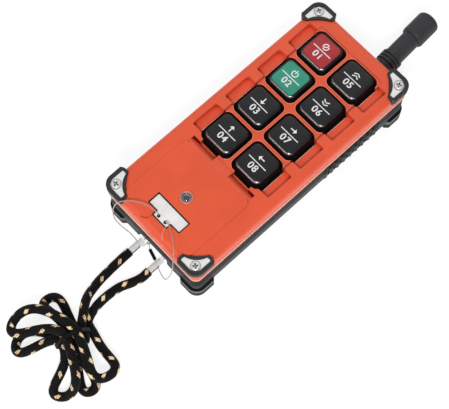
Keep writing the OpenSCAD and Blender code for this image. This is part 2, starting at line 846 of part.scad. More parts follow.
module rear_shell() {
    color("#3a3a3c")
        in_case()
            difference() {
                union() {
                    difference() {
                        translate([0, 0, floor_z])
                            linear_extrude(rear_h)
                                case_plan();
                        bottom_bevels();
                        grip_recess();
                    }
                    grip_lobes();
                }
                rear_hollow();
                every_corner()
                    translate([0, 0, -cut])
                        linear_extrude(foot_h + fit + cut)
                            foot_plan(-bumper_out, fit);
                // battery bay, rebate of the cover and the screws' threads
                translate([0, bay_y, 0]) {
                    translate([0, 0, -cut])
                        linear_extrude(rear_h + floor_z + cut)
                            round_rect(bay_w, bay_l, fit);
                    translate([0, 0, floor_z - cut])
                        linear_extrude(ledge_z - floor_z + cut)
                            round_rect(cover_w + 2 * fit, cover_l + 2 * fit, cover_r + fit);
                    for (end = [-1, 1])
                        translate([0, end * coin_y, floor_z])
                            cylinder(d = coin_d + 2 * thread_gap, h = ledge_z - floor_z + coin_thread_l + fit);
                }
                // recess and bores of the lanyard bar
                translate([-recess_x, -case_y - cut, floor_z - cut])
                    cube([recess_w, recess_depth + cut, recess_top - floor_z + cut]);
                translate([0, bar_y, bar_z])
                    rotate([0, 90, 0])
                        cylinder(d = bar_d + 2 * fit, h = recess_w + 2 * bar_grip, center = true);
                screw_holes(screw_d + 2 * thread_gap, floor_top_z + wall, rear_h);
                // hole of the antenna's neck
                translate([antenna_x, case_y, antenna_z])
                    rotate([90, 0, 0])
                        cylinder(d = neck_d + 2 * fit, h = 2 * (wall + cut), center = true);
            }
}

module shell_gasket() {
    color("#111111")
        in_case()
            translate([0, 0, parting_z])
                linear_extrude(gasket_t)
                    difference() {
                        case_plan(soft_gap);
                        difference() {
                            case_plan(wall);
                            for (x = [-1, 1], y = [-1, 1])
                                translate([x * screw_x, y * screw_y])
                                    circle(post_r);
                        }
                        for (x = [-1, 1], y = [-1, 1])
                            translate([x * screw_x, y * screw_y])
                                circle(d = screw_d + 2 * thread_gap);
                    }
}

// A rubber bumper on the front shell: stepped sides, a rim and a pocket for the plate
module top_bumper(side, end) {
    color("#2b2b2d")
        in_case()
            corner(side, end)
                difference() {
                    union() {
                        translate([0, 0, bumper_z])
                            linear_extrude(bumper_step_h)
                                bumper_plan(2 * bumper_setback);
                        translate([0, 0, bumper_z + bumper_step_h])
                            linear_extrude(bumper_step_h)
                                bumper_plan(bumper_setback);
                        translate([0, 0, bumper_z + 2 * bumper_step_h])
                            linear_extrude(bumper_top_z - bumper_z - 2 * bumper_step_h)
                                bumper_plan();
                    }
                    translate([0, 0, plate_z])
                        linear_extrude(plate_t + plate_drop + cut)
                            plate_plan(fit);
                    translate([screw_x, screw_y, bumper_z - cut])
                        cylinder(d = screw_d + 2 * thread_gap, h = bumper_top_z - bumper_z + 2 * cut);
                }
}

module top_bumper_front_left() {
    top_bumper(-1, 1);
}

module top_bumper_front_right() {
    top_bumper(1, 1);
}

module top_bumper_rear_left() {
    top_bumper(-1, -1);
}

module top_bumper_rear_right() {
    top_bumper(1, -1);
}

// A rubber bumper on the rear shell: a wall round the corner and a sole under it
module foot_bumper(side, end) {
    color("#2b2b2d")
        in_case()
            corner(side, end) {
                linear_extrude(floor_z)
                    sole_plan();
                difference() {
                    union() {
                        linear_extrude(foot_h - foot_ledge_h)
                            foot_plan();
                        linear_extrude(foot_h)
                            foot_plan(foot_ledge_w);
                    }
                    translate([0, 0, foot_band_z])
                        linear_extrude(foot_band_h)
                            difference() {
                                foot_plan(-cut);
                                foot_plan(foot_band_depth);
                            }
                }
            }
}

module foot_bumper_front_left() {
    foot_bumper(-1, 1);
}

module foot_bumper_front_right() {
    foot_bumper(1, 1);
}

module foot_bumper_rear_left() {
    foot_bumper(-1, -1);
}

module foot_bumper_rear_right() {
    foot_bumper(1, -1);
}

module corner_plates() {
    color("#d9d4cc")
        in_case()
            every_corner()
                difference() {
                    translate([0, 0, plate_z])
                        linear_extrude(plate_t)
                            plate_plan();
                    translate([screw_x, screw_y, plate_z - cut])
                        cylinder(d = screw_d + 2 * thread_gap, h = plate_t + 2 * cut);
                    translate([screw_x, screw_y, head_z])
                        cylinder(d = screw_head_d + 2 * fit, h = plate_t);
                }
}

// Screws from the corner plates down into the rear shell, with crossed slots
module corner_screws() {
    color("#c9c9cb")
        in_case()
            for (x = [-1, 1], y = [-1, 1])
                translate([x * screw_x, y * screw_y, head_z])
                    difference() {
                        union() {
                            cylinder(d = screw_head_d, h = screw_head_h);
                            translate([0, 0, -screw_l])
                                cylinder(d = screw_d, h = screw_l);
                        }
                        for (turn = [0, 90])
                            rotate([0, 0, turn])
                                translate([0, 0, screw_head_h])
                                    cube([screw_head_d * 2 / 3, slot_w, 2 * slot_depth], center = true);
                    }
}

// Rubber sheet on the board, with a collar that guides and seals each key's post
module keypad_membrane() {
    color("#6c6c70")
        in_case()
            translate([0, 0, board_top_z])
                difference() {
                    union() {
                        translate([-web_x + fit, last_key_y - flange_w / 2, 0])
                            cube([2 * (web_x - fit), (key_rows - 1) * key_pitch_y + flange_w, membrane_t]);
                        every_key()
                            cylinder(d = collar_d, h = membrane_t + collar_h);
                    }
                    every_key()
                        translate([0, 0, -cut])
                            cylinder(d = post_d + 2 * fit, h = membrane_t + collar_h + 2 * cut);
                }
}

// A hollow key cap: tapered top, straight neck, flange under the well's floor and a post
module key_cap(column, row) {
    in_case()
        translate([key_x(column), key_y(row), 0]) {
            difference() {
                union() {
                    hull() {
                        translate([0, 0, well_z])
                            linear_extrude(key_edge)
                                round_rect(key_foot, key_foot, key_corner_r, $fn = 32);
                        translate([0, 0, key_top_z - 2 * key_edge])
                            linear_extrude(key_edge)
                                round_rect(key_top + key_edge, key_top + key_edge, key_corner_r, $fn = 32);
                        translate([0, 0, key_top_z - key_edge])
                            linear_extrude(key_edge)
                                round_rect(key_top, key_top, key_corner_r - key_edge / 2, $fn = 32);
                    }
                    translate([0, 0, flange_z])
                        linear_extrude(well_z - flange_z + key_edge / 2)
                            round_rect(key_foot, key_foot, key_corner_r);
                    translate([0, 0, flange_z])
                        linear_extrude(flange_t)
                            round_rect(flange_w, flange_w, key_hole_r);
                }
                translate([0, 0, flange_z - cut])
                    linear_extrude(key_cavity_top_z - flange_z + cut)
                        round_rect(key_cavity, key_cavity, key_face_r);
                translate([0, 0, key_top_z - key_face_t])
                    linear_extrude(key_face_t + cut)
                        round_rect(face_w, face_w, key_face_r);
            }
            translate([0, 0, post_z])
                cylinder(d = post_d, h = key_cavity_top_z + key_roof / 2 - post_z);
        }
}

// The face set into a key cap's top
module key_face(column, row) {
    in_case()
        translate([key_x(column), key_y(row), key_top_z - key_face_t])
            linear_extrude(key_face_t)
                round_rect(face_w - 2 * fit, face_w - 2 * fit, key_face_r - fit);
}

module stop_key() {
    color("#242428")
        key_cap(0, 0);
}

module start_key() {
    color("#242428")
        key_cap(0, 1);
}

module south_key() {
    color("#242428")
        key_cap(0, 2);
}

module north_key() {
    color("#242428")
        key_cap(0, 3);
}

module up_key() {
    color("#242428")
        key_cap(1, 0);
}

module down_key() {
    color("#242428")
        key_cap(1, 1);
}

module east_key() {
    color("#242428")
        key_cap(1, 2);
}

module west_key() {
    color("#242428")
        key_cap(1, 3);
}

module stop_key_face() {
    color("#b02a38")
        key_face(0, 0);
}

module start_key_face() {
    color("#2f9683")
        key_face(0, 1);
}

module south_key_face() {
    color("#2c2c30")
        key_face(0, 2);
}

module north_key_face() {
    color("#2c2c30")
        key_face(0, 3);
}

module up_key_face() {
    color("#2c2c30")
        key_face(1, 0);
}

module down_key_face() {
    color("#2c2c30")
        key_face(1, 1);
}

module east_key_face() {
    color("#2c2c30")
        key_face(1, 2);
}

module west_key_face() {
    color("#2c2c30")
        key_face(1, 3);
}

// The clear light guide: a domed rod with a flange under the face
module indicator_lens() {
    color("#cfd6e6")
        in_case()
            translate([0, led_y, face_ceiling_z])
                rotate_extrude()
                    difference() {
                        union() {
                            translate([0, -flange_t])
                                square([bezel_d / 2 + flange_t, flange_t]);
                            square([lens_d / 2 - fit, face_t]);
                            translate([0, face_t - lens_d / 2])
                                intersection() {
                                    circle(lens_d / 2 - fit);
                                    square([lens_d, lens_d]);
                                }
                        }
                        translate([-lens_d, -lens_d])
                            square([lens_d, 3 * lens_d]);
                    }
}

module indicator_bezel() {
    color("#9c8f98")
        in_case()
            translate([0, led_y, face_ceiling_z])
                difference() {
                    cylinder(d = bezel_d, h = face_t + panel_h);
                    translate([0, 0, -cut])
                        cylinder(d = lens_d, h = face_t + panel_h + 2 * cut);
                }
}

module indicator_led() {
    led_d = lens_d * 3 / 4;
    led_h = face_ceiling_z - flange_t - board_top_z - soft_gap;
    color("#e8e0d0")
        in_case()
            translate([0, led_y, board_top_z]) {
                cylinder(d = led_d, h = led_h - led_d / 2);
                translate([0, 0, led_h - led_d / 2])
                    sphere(d = led_d);
            }
}

module circuit_board() {
    color("#1f6b3a")
        in_case()
            difference() {
                translate([0, 0, board_z])
                    linear_extrude(board_t)
                        difference() {
                            square([board_w, board_l], center = true);
                            for (x = [-1, 1], y = [-1, 1])
                                translate([x * screw_x, y * screw_y])
                                    circle(post_r + soft_gap);
                        }
                board_bosses_at()
                    translate([0, 0, board_z - cut])
                        cylinder(d = board_screw_d + 2 * thread_gap, h = board_t + 2 * cut);
            }
}

// Screws that hold the board up to the front shell's bosses
module board_screws() {
    board_head_h = 1;
    color("#b9b9bb")
        in_case()
            board_bosses_at() {
                translate([0, 0, board_z - board_head_h])
                    cylinder(d = board_head_d, h = board_head_h);
                translate([0, 0, board_z])
                    cylinder(d = board_screw_d, h = well_ceiling_z - board_z - membrane_t);
            }
}

// Shielded radio module under the board's antenna end, with the arm that feeds the antenna
module radio_module() {
    module_w = 22;
    module_l = 18;
    module_h = 3.4;
    module_y = 34;
    arm_w = 3;
    arm_t = 0.6;
    module_x = boss_x - board_head_d / 2 - soft_gap - module_w / 2;
    arm_y = case_y - neck_in;
    color("#a9acb0")
        in_case() {
            translate([module_x - module_w / 2, module_y - module_l / 2, board_z - module_h])
                cube([module_w, module_l, module_h]);
            translate([antenna_x - arm_w / 2, module_y, board_z - module_h])
                cube([arm_w, arm_y - module_y - fit, arm_t]);
            translate([antenna_x - arm_w / 2, arm_y - arm_t - fit, antenna_z])
                cube([arm_w, arm_t, board_z - module_h + arm_t - antenna_z]);
        }
}

// Glass reed switch on the board under the magnetic key
module reed_switch() {
    reed_d = 2.2;
    reed_l = 12;
    color("#bfe0c8")
        in_case()
            translate([0, mag_y, board_top_z + reed_d / 2])
                rotate([0, 90, 0])
                    cylinder(d = reed_d, h = reed_l, center = true);
}

// Frame along the antenna's straight foot, then the leaning part past it
module along_foot() {
    translate([antenna_x, case_y, antenna_z])
        rotate([-90, 0, 0])
            children();
}

module along_lean() {
    translate([antenna_x, case_y + antenna_foot_l, antenna_z])
        rotate([0, 0, antenna_lean])
            rotate([-90, 0, 0])
                translate([0, 0, lean_gap])
                    children();
}

module antenna_foot() {
    color("#35353a")
        in_case()
            along_foot() {
                cylinder(d = antenna_foot_d, h = antenna_foot_l);
                translate([0, 0, -neck_in])
                    cylinder(d = neck_d, h = neck_in);
            }
}

module antenna_nut() {
    color("#c8b070")
        in_case()
            along_foot()
                translate([0, 0, -wall - antenna_nut_t])
                    difference() {
                        cylinder(d = antenna_nut_d, h = antenna_nut_t, $fn = 6);
                        translate([0, 0, -cut])
                            cylinder(d = neck_d + 2 * thread_gap, h = antenna_nut_t + 2 * cut, $fn = 64);
                    }
}

module antenna_stem() {
    color("#35353a")
        in_case()
            along_lean()
                difference() {
                    union() {
                        cylinder(d = stem_d, h = stem_l);
                        for (i = [0 : ring_count - 1])
                            translate([0, 0, i * ring_pitch])
                                cylinder(d = ring_d, h = ring_w);
                    }
                    translate([0, 0, ring_w])
                        cylinder(d = antenna_core_d + 2 * fit, h = stem_l);
                }
}

module antenna_cap() {
    color("#35353a")
        in_case()
            along_lean()
                translate([0, 0, stem_l])
                    difference() {
                        rotate_extrude() {
                            square([cap_d / 2 - cap_round, cap_l]);
                            translate([0, cap_round])
                                square([cap_d / 2, cap_l - 2 * cap_round]);
                            for (end = [cap_round, cap_l - cap_round])
                                translate([cap_d / 2 - cap_round, end])
                                    circle(cap_round);
                        }
                        translate([0, 0, -cut])
                            cylinder(d = antenna_core_d + 2 * fit, h = cap_l - wall + cut);
                    }
}

module antenna_core() {
    color("#b98a4a")
        in_case()
            along_lean()
                translate([0, 0, ring_w])
                    cylinder(d = antenna_core_d, h = stem_l + cap_l - ring_w - wall);
}

// Two AA cells side by side, one each way round
module battery_cells() {
    color("#4c6fae")
        in_case()
            for (side = [-1, 1])
                translate([side * cell_x, bay_y, cell_z])
                    rotate([side * 90, 0, 0]) {
                        translate([0, 0, -cell_l / 2])
                            cylinder(d = cell_d - soft_gap, h = cell_l - nub_l);
                        translate([0, 0, -cell_l / 2])
                            cylinder(d = nub_d, h = cell_l);
                    }
}

module battery_contacts() {
    color("#d8d8da")
        in_case()
            for (side = [-1, 1], end = [-1, 1])
                translate([side * cell_x, bay_y + end * (bay_l - contact_t) / 2, cell_z])
                    cube([contact_w, contact_t, contact_w], center = true);
}

// Springs at the flat end of each cell
module battery_springs() {
    color("#c9c9cb")
        in_case()
            for (side = [-1, 1])
                translate([side * cell_x, bay_y, cell_z])
                    rotate([side * 90, 0, 0])
                        translate([0, 0, -cell_l / 2 - spring_l])
                            cylinder(d1 = spring_d, d2 = nub_d, h = spring_l);
}

// Cover plate with a rounded outline, seats for the screws and a ribbed grip
module battery_cover() {
    rib_count = 5;
    rib_pitch = 3;
    color("#3a3a3c")
        in_case()
            translate([0, bay_y, floor_z])
                difference() {
                    linear_extrude(cover_t)
                        difference() {
                            round_rect(cover_w, cover_l, cover_r);
                            for (end = [-1, 1])
                                translate([0, end * coin_y])
                                    circle(d = coin_d + 2 * thread_gap);
                        }
                    for (end = [-1, 1])
                        translate([0, end * coin_y, -cut])
                            cylinder(d = coin_head_d + 2 * fit, h = coin_head_t + cut);
                    for (i = [0 : rib_count - 1])
                        translate([0, coin_y - coin_head_d - i * rib_pitch, 0])
                            cube([cover_w / 2, rib_pitch / 3, 2 * slot_depth], center = true);
                }
}

module battery_cover_seal() {
    color("#77777b")
        in_case()
            translate([0, bay_y, cover_top_z])
                linear_extrude(seal_t)
                    difference() {
                        round_rect(bay_w + 2 * seal_w, bay_l + 2 * seal_w, seal_w);
                        round_rect(bay_w, bay_l, fit);
                    }
}

// A captive screw with a coin slot
module cover_screw(end) {
    coin_slot_w = 1.4;
    color("#c9c9cb")
        in_case()
            translate([0, bay_y + end * coin_y, floor_z])
                difference() {
                    union() {
                        cylinder(d = coin_head_d, h = coin_head_t);
                        cylinder(d = coin_d, h = ledge_z - floor_z + coin_thread_l);
                    }
                    cube([coin_head_d + cut, coin_slot_w, coin_head_t], center = true);
                }
}

module cover_screw_front() {
    cover_screw(1);
}

module cover_screw_rear() {
    cover_screw(-1);
}

// The lift-out key that arms the transmitter, with its tether holes and a groove between them
module magnetic_key() {
    color("#f0f0ee")
        in_case()
            difference() {
                translate([0, 0, mag_floor_z])
                    linear_extrude(mag_t)
                        magnetic_key_plan();
                for (side = [-1, 1])
                    translate([side * tether_hole_pitch / 2, mag_tab_y, mag_floor_z - cut])
                        cylinder(d = tether_hole_d, h = mag_t + 2 * cut);
                translate([-tether_hole_pitch / 2, mag_tab_y - tether_hole_d / 2, mag_floor_z - cut])
                    cube([tether_hole_pitch, tether_hole_d, tether_groove_d + cut]);
                translate([-magnet_w / 2 - fit, mag_y - magnet_l / 2 - fit, mag_floor_z - cut])
                    cube([magnet_w + 2 * fit, magnet_l + 2 * fit, magnet_t + cut]);
            }
}

module key_magnet() {
    color("#8a8a90")
        in_case()
            translate([-magnet_w / 2, mag_y - magnet_l / 2, mag_floor_z])
                cube([magnet_w, magnet_l, magnet_t]);
}

// Rings of a tube: each lies square to the route, and its sides are carried along without a twist
function route_way(route, i) = unit(route[min(i + 1, len(route) - 1)] - route[max(i - 1, 0)]);
function ring_side(way) = unit(cross(way, abs(way[2]) > 0.9 ? [0, 1, 0] : [0, 0, 1]));
function carried_sides(route, i = 0, side = [0, 0, 0], sides = []) =
    i == len(route) ? sides :
    let (
        way = route_way(route, i),
        from = i == 0 ? ring_side(way) : side,
        next = unit(from - (from * way) * way)
    )
    carried_sides(route, i + 1, next, concat(sides, [next]));
function tube_points(route, r, sides) =
    let (carried = carried_sides(route))
    [
        for (i = [0 : len(route) - 1], k = [0 : sides - 1])
            let (
                side = carried[i],
                up = cross(side, route_way(route, i)),
                turn = (k + 1 / 2) * 360 / sides
            )
            route[i] + r * cos(turn) * side + r * sin(turn) * up
    ];
function tube_faces(count, sides) = concat(
    [[for (k = [0 : sides - 1]) k]],
    [for (i = [0 : count - 2], k = [0 : sides - 1])
        let (a = i * sides + k, b = i * sides + (k + 1) % sides)
        [a, a + sides, b]],
    [for (i = [0 : count - 2], k = [0 : sides - 1])
        let (b = i * sides + (k + 1) % sides)
        [i * sides + k + sides, b + sides, b]],
    [[for (k = [sides - 1 : -1 : 0]) (count - 1) * sides + k]]
);

module tube(route, d, sides) {
    polyhedron(tube_points(route, d / 2, sides), tube_faces(len(route), sides));
}

module key_tether() {
    color("#c4c4c8")
        in_case()
            tube(tether_route, tether_d, 8);
}

// A straight rod between two points
module rod(from, to, d) {
    way = to - from;
    translate(from)
        rotate([0, 0, atan2(way[1], way[0])])
            rotate([0, acos(way[2] / norm(way)), 0])
                cylinder(d = d, h = norm(way));
}

module tether_crimp() {
    color("#1a1a1a")
        in_case()
            rod(crimp_from, crimp_to, crimp_d);
}

// A ring that hangs on the bar, in the plane across it
module hanging_ring(x, r, wire, drop) {
    translate([x, bar_y - drop / sqrt(2), bar_z - drop / sqrt(2)])
        rotate([0, 90, 0])
            rotate_extrude()
                translate([r, 0])
                    circle(d = wire);
}

module tether_ring() {
    color("#d0d0d2")
        in_case()
            hanging_ring(ring_x, ring_r, ring_wire, ring_drop);
}

module lanyard_bar() {
    color("#c9c9cb")
        in_case()
            translate([0, bar_y, bar_z])
                rotate([0, 90, 0])
                    cylinder(d = bar_d, h = recess_w + 2 * bar_grip - 2 * fit, center = true);
}

// Crimped metal ends of the lanyard, each with an eye round the bar
module lanyard_ferrules() {
    eye_end_y = bar_y - eye_drop - eye_r;
    color("#d6d6d8")
        in_case()
            for (side = [-1, 1]) {
                hanging_ring(side * ferrule_x, eye_r, eye_wire, eye_drop);
                translate([side * ferrule_x, ferrule_end_y, ferrule_z])
                    rotate([-90, 0, 0])
                        cylinder(d = ferrule_d, h = eye_end_y - ferrule_end_y);
            }
}

module lanyard_strand_left() {
    color("#1c1c1c")
        in_case()
            tube(strand_left_route, cord_d, 10);
}

module lanyard_strand_right() {
    color("#1c1c1c")
        in_case()
            tube(strand_right_route, cord_d, 10);
}

module lanyard_hank() {
    color("#1c1c1c")
        in_case()
            tube(HANK_ROUTE, cord_d, hank_sides);
}

// The outline round the strands at the waist, seen along the hank's axis
module waist_outline(grow) {
    hull()
        for (slot = [slot_start, slot_b, slot_c, slot_d, slot_e])
            translate([slot[0], waist_layer[slot[1]]])
                circle(cord_d / 2 + grow, $fn = 24);
    hull()
        for (place = [[slot_start[0], waist_layer[0]], [hank_hook[3][1], hank_hook[3][2]],
            [slot_e[0], waist_layer[2]], [slot_b[0], waist_layer[0]]])
            translate(place)
                circle(cord_d / 2 + grow, $fn = 24);
}

// A band round the waist of the hank
module lanyard_tie() {
    color("#0e0e0e")
        in_case()
            translate([hank_at[0], hank_at[1], 0])
                rotate([0, 0, hank_turn])
                    rotate([90, 0, 90])
                        linear_extrude(tie_w, center = true)
                            difference() {
                                waist_outline(tie_gap + tie_t);
                                waist_outline(tie_gap);
                            }
}

front_shell();
rear_shell();
shell_gasket();
top_bumper_front_left();
top_bumper_front_right();
top_bumper_rear_left();
top_bumper_rear_right();
foot_bumper_front_left();
foot_bumper_front_right();
foot_bumper_rear_left();
foot_bumper_rear_right();
corner_plates();
corner_screws();
keypad_membrane();
stop_key();
start_key();
south_key();
north_key();
up_key();
down_key();
east_key();
west_key();
stop_key_face();
start_key_face();
south_key_face();
north_key_face();
up_key_face();
down_key_face();
east_key_face();
west_key_face();
indicator_lens();
indicator_bezel();
indicator_led();
circuit_board();
board_screws();
radio_module();
reed_switch();
antenna_foot();
antenna_stem();
antenna_cap();
antenna_core();
antenna_nut();
battery_cells();
battery_contacts();
battery_springs();
battery_cover();
battery_cover_seal();
cover_screw_front();
cover_screw_rear();
magnetic_key();
key_magnet();
key_tether();
tether_crimp();
tether_ring();
lanyard_bar();
lanyard_ferrules();
lanyard_strand_left();
lanyard_strand_right();
lanyard_hank();
lanyard_tie();
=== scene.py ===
# Looks of a hand-held crane transmitter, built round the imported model
import math

import bmesh
import bpy
from mathutils import Matrix, Vector

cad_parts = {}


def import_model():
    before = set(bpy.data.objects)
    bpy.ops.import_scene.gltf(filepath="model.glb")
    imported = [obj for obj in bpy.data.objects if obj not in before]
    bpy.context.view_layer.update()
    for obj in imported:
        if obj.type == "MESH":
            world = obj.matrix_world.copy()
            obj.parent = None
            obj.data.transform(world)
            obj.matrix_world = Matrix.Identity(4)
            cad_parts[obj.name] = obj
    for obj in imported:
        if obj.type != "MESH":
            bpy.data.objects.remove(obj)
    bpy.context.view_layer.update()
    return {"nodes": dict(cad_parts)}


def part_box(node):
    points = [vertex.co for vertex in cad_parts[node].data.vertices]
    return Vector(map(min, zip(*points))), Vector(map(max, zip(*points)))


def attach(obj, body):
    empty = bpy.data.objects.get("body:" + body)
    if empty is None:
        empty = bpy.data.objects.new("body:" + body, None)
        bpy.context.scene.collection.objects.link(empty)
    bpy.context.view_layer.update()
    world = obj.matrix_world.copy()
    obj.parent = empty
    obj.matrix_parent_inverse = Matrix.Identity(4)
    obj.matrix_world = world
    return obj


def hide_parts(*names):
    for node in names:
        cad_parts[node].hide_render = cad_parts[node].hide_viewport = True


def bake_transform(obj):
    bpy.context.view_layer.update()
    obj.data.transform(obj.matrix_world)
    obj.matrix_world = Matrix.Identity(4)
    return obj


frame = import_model()

MM = 0.001
ROOT = "transmitter"
shell_low, shell_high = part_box("front_shell")
CASE_Y = (shell_low[1] + shell_high[1]) / 2
PI = math.pi


def at(x, y, z):
    """A point given in millimetres in the frame of the case, as metres in the row frame."""
    return Vector((x * MM, y * MM + CASE_Y, z * MM))


# Camera at the photograph's angle
scene = bpy.context.scene
scene.view_settings.view_transform = "Standard"
AZIMUTH = math.radians(46.95)
ELEVATION = math.radians(70.33)
DISTANCE = 0.5514
target = at(9.45, -29.77, 15)
camera_data = bpy.data.cameras.new("camera")
camera_data.sensor_width = 36
camera_data.lens = 100.15
camera_data.clip_start = 0.01
camera = bpy.data.objects.new("camera", camera_data)
scene.collection.objects.link(camera)
back = Vector((
    math.cos(ELEVATION) * math.sin(AZIMUTH),
    -math.cos(ELEVATION) * math.cos(AZIMUTH),
    math.sin(ELEVATION),
))
camera.location = target + DISTANCE * back
camera.rotation_euler = (-back).to_track_quat("-Z", "Y").to_euler()
scene.camera = camera


# Materials: one helper holds the tree, its links and the shader
class Finish:
    """A material being built: its node tree, its shader and the bump so far."""

    def __init__(self, name, color, roughness, metallic=0.0, **sockets):
        self.material = bpy.data.materials.new(name)
        self.material.use_nodes = True
        self.tree = self.material.node_tree
        self.shader = self.tree.nodes["Principled BSDF"]
        self.shader.inputs["Base Color"].default_value = (*color, 1)
        self.shader.inputs["Roughness"].default_value = roughness
        self.shader.inputs["Metallic"].default_value = metallic
        for socket, value in sockets.items():
            self.shader.inputs[socket.replace("_", " ")].default_value = value
        self.color = color
        self.height = None

    def add(self, kind, **settings):
        node = self.tree.nodes.new(kind)
        for key, value in settings.items():
            setattr(node, key, value)
        return node

    def link(self, a, b):
        self.tree.links.new(a, b)

    def place(self, stretch=(1, 1, 1)):
        """The object's own coordinates, stretched."""
        coordinates = self.add("ShaderNodeTexCoord")
        mapping = self.add("ShaderNodeMapping")
        mapping.inputs["Scale"].default_value = stretch
        self.link(coordinates.outputs["Object"], mapping.inputs["Vector"])
        return mapping.outputs["Vector"]

    def noise(self, scale, detail=3, stretch=(1, 1, 1), roughness=0.55):
        node = self.add("ShaderNodeTexNoise")
        node.inputs["Scale"].default_value = scale
        node.inputs["Detail"].default_value = detail
        node.inputs["Roughness"].default_value = roughness
        self.link(self.place(stretch), node.inputs["Vector"])
        return node.outputs["Fac"]

    def ramp(self, source, low, high, at_low, at_high):
        node = self.add("ShaderNodeMapRange")
        node.inputs["From Min"].default_value = low
        node.inputs["From Max"].default_value = high
        node.inputs["To Min"].default_value = at_low
        node.inputs["To Max"].default_value = at_high
        self.link(source, node.inputs["Value"])
        return node.outputs["Result"]

    def blend_color(self, source, other, low=0.0, high=1.0):
        """Blends the colour so far with another one where the source is high."""
        mix = self.add("ShaderNodeMix", data_type="RGBA")
        socket = self.shader.inputs["Base Color"]
        if socket.links:
            self.link(socket.links[0].from_socket, mix.inputs["A"])
        else:
            mix.inputs["A"].default_value = socket.default_value[:]
        mix.inputs["B"].default_value = (*other, 1)
        self.link(self.ramp(source, 0, 1, low, high), mix.inputs["Factor"])
        self.link(mix.outputs["Result"], socket)

    def mottle(self, scale, amount, detail=3, stretch=(1, 1, 1)):
        """Light and dark variation of the colour so far."""
        lighter = tuple(min(1, c * (1 + amount) + amount * 0.02) for c in self.color)
        darker = tuple(c * (1 - amount) for c in self.color)
        patches = self.noise(scale, detail, stretch)
        self.blend_color(self.ramp(patches, 0.5, 0.75, 0, 1), lighter)
        self.blend_color(self.ramp(patches, 0.5, 0.25, 0, 1), darker)

    def rough(self, scale, low, high, stretch=(1, 1, 1)):
        self.link(
            self.ramp(self.noise(scale, 4, stretch), 0.3, 0.7, low, high),
            self.shader.inputs["Roughness"],
        )

    def bump(self, source, distance, strength=1.0):
        node = self.add("ShaderNodeBump")
        node.inputs["Distance"].default_value = distance
        node.inputs["Strength"].default_value = strength
        self.link(source, node.inputs["Height"])
        if self.height is not None:
            self.link(self.height, node.inputs["Normal"])
        self.height = node.outputs["Normal"]
        self.link(self.height, self.shader.inputs["Normal"])

    def stripe(self, low, high, color, amount=1.0, soft=0.0003):
        """A band of another colour between two heights of the case, in millimetres."""
        split = self.add("ShaderNodeSeparateXYZ")
        self.link(self.place(), split.inputs["Vector"])
        height = split.outputs["Z"]
        above = self.ramp(height, low * MM - soft, low * MM + soft, 0, 1)
        below = self.ramp(height, high * MM - soft, high * MM + soft, 1, 0)
        both = self.add("ShaderNodeMath", operation="MULTIPLY")
        self.link(above, both.inputs[0])
        self.link(below, both.inputs[1])
        self.blend_color(both.outputs["Value"], color, 0, amount)

    def paint_crevice_shade(self, distance, darker, amount=0.9, open_share=0.8, closed_share=0.3):
        """Paints shade into the colour where neighbouring surfaces stand close, by ambient occlusion."""
        shade = self.add("ShaderNodeAmbientOcclusion", samples=8)
        shade.inputs["Distance"].default_value = distance
        self.blend_color(self.ramp(shade.outputs["AO"], open_share, closed_share, 0, amount), darker)

    def round_edges(self, radius, lighter=None, amount=0.5):
        """Softens the sharp edges, and lightens their colour a little as a painted highlight."""
        bevel = self.add("ShaderNodeBevel", samples=6)
        bevel.inputs["Radius"].default_value = radius
        self.height = bevel.outputs["Normal"]
        self.link(self.height, self.shader.inputs["Normal"])
        # Painted highlight: the colour turns lighter where the softened normal leaves the face's own.
        if lighter:
            geometry = self.add("ShaderNodeNewGeometry")
            dot = self.add("ShaderNodeVectorMath", operation="DOT_PRODUCT")
            self.link(bevel.outputs["Normal"], dot.inputs[0])
            self.link(geometry.outputs["Normal"], dot.inputs[1])
            self.blend_color(self.ramp(dot.outputs["Value"], 0.995, 0.85, 0, amount), lighter)


def orange_plastic():
    f = Finish("orange_plastic", (0.91, 0.113, 0.043), 0.42, Specular_IOR_Level=0.4)
    # Painted highlight: a paler orange on the edges.
    f.round_edges(0.00025, (1.0, 0.34, 0.22), 0.75)
    f.mottle(90, 0.05)
    # Painted shade: deeper red in the recesses, and darker again in tight corners.
    f.paint_crevice_shade(0.0035, (0.28, 0.022, 0.010), 0.8, 0.5, 0.2)
    f.paint_crevice_shade(0.0012, (0.24, 0.014, 0.007), 0.7, 0.62, 0.42)
    f.rough(700, 0.36, 0.48)
    f.bump(f.noise(3200, 2), 0.00003, 0.5)
    return f.material


def dark_plastic(name, color, roughness, lighter, specular=0.5, stripes=(), reach=0.0006):
    f = Finish(name, color, roughness, Specular_IOR_Level=specular)
    # Painted highlight: the lighter colour on the edges.
    f.round_edges(0.00025, lighter, 0.5)
    f.mottle(160, 0.12)
    for low, high, other in stripes:
        f.stripe(low, high, other)
    # Painted shade: a darker colour in the crevices.
    f.paint_crevice_shade(reach, tuple(c * 0.12 for c in color))
    f.rough(900, roughness - 0.06, roughness + 0.08)
    f.bump(f.noise(2600, 2), 0.00004, 0.6)
    return f.material


def metal(name, color, roughness, stretch=(1, 1, 1), scale=900, metallic=1.0, reach=0.0):
    f = Finish(name, color, roughness, metallic)
    f.round_edges(0.0001)
    f.mottle(300, 0.08, stretch=stretch)
    # Painted shade in the crevices, where a reach is given.
    if reach:
        f.paint_crevice_shade(reach, (0.02, 0.02, 0.02), 0.95, 0.75, 0.5)
    f.rough(scale, roughness - 0.08, roughness + 0.12, stretch)
    f.bump(f.noise(scale * 2, 2, stretch), 0.00001, 0.5)
    return f.material


def printed(name, color, roughness=0.5):
    f = Finish(name, color, roughness)
    f.mottle(500, 0.06)
    f.bump(f.noise(4000, 2), 0.00001, 0.4)
    return f.material


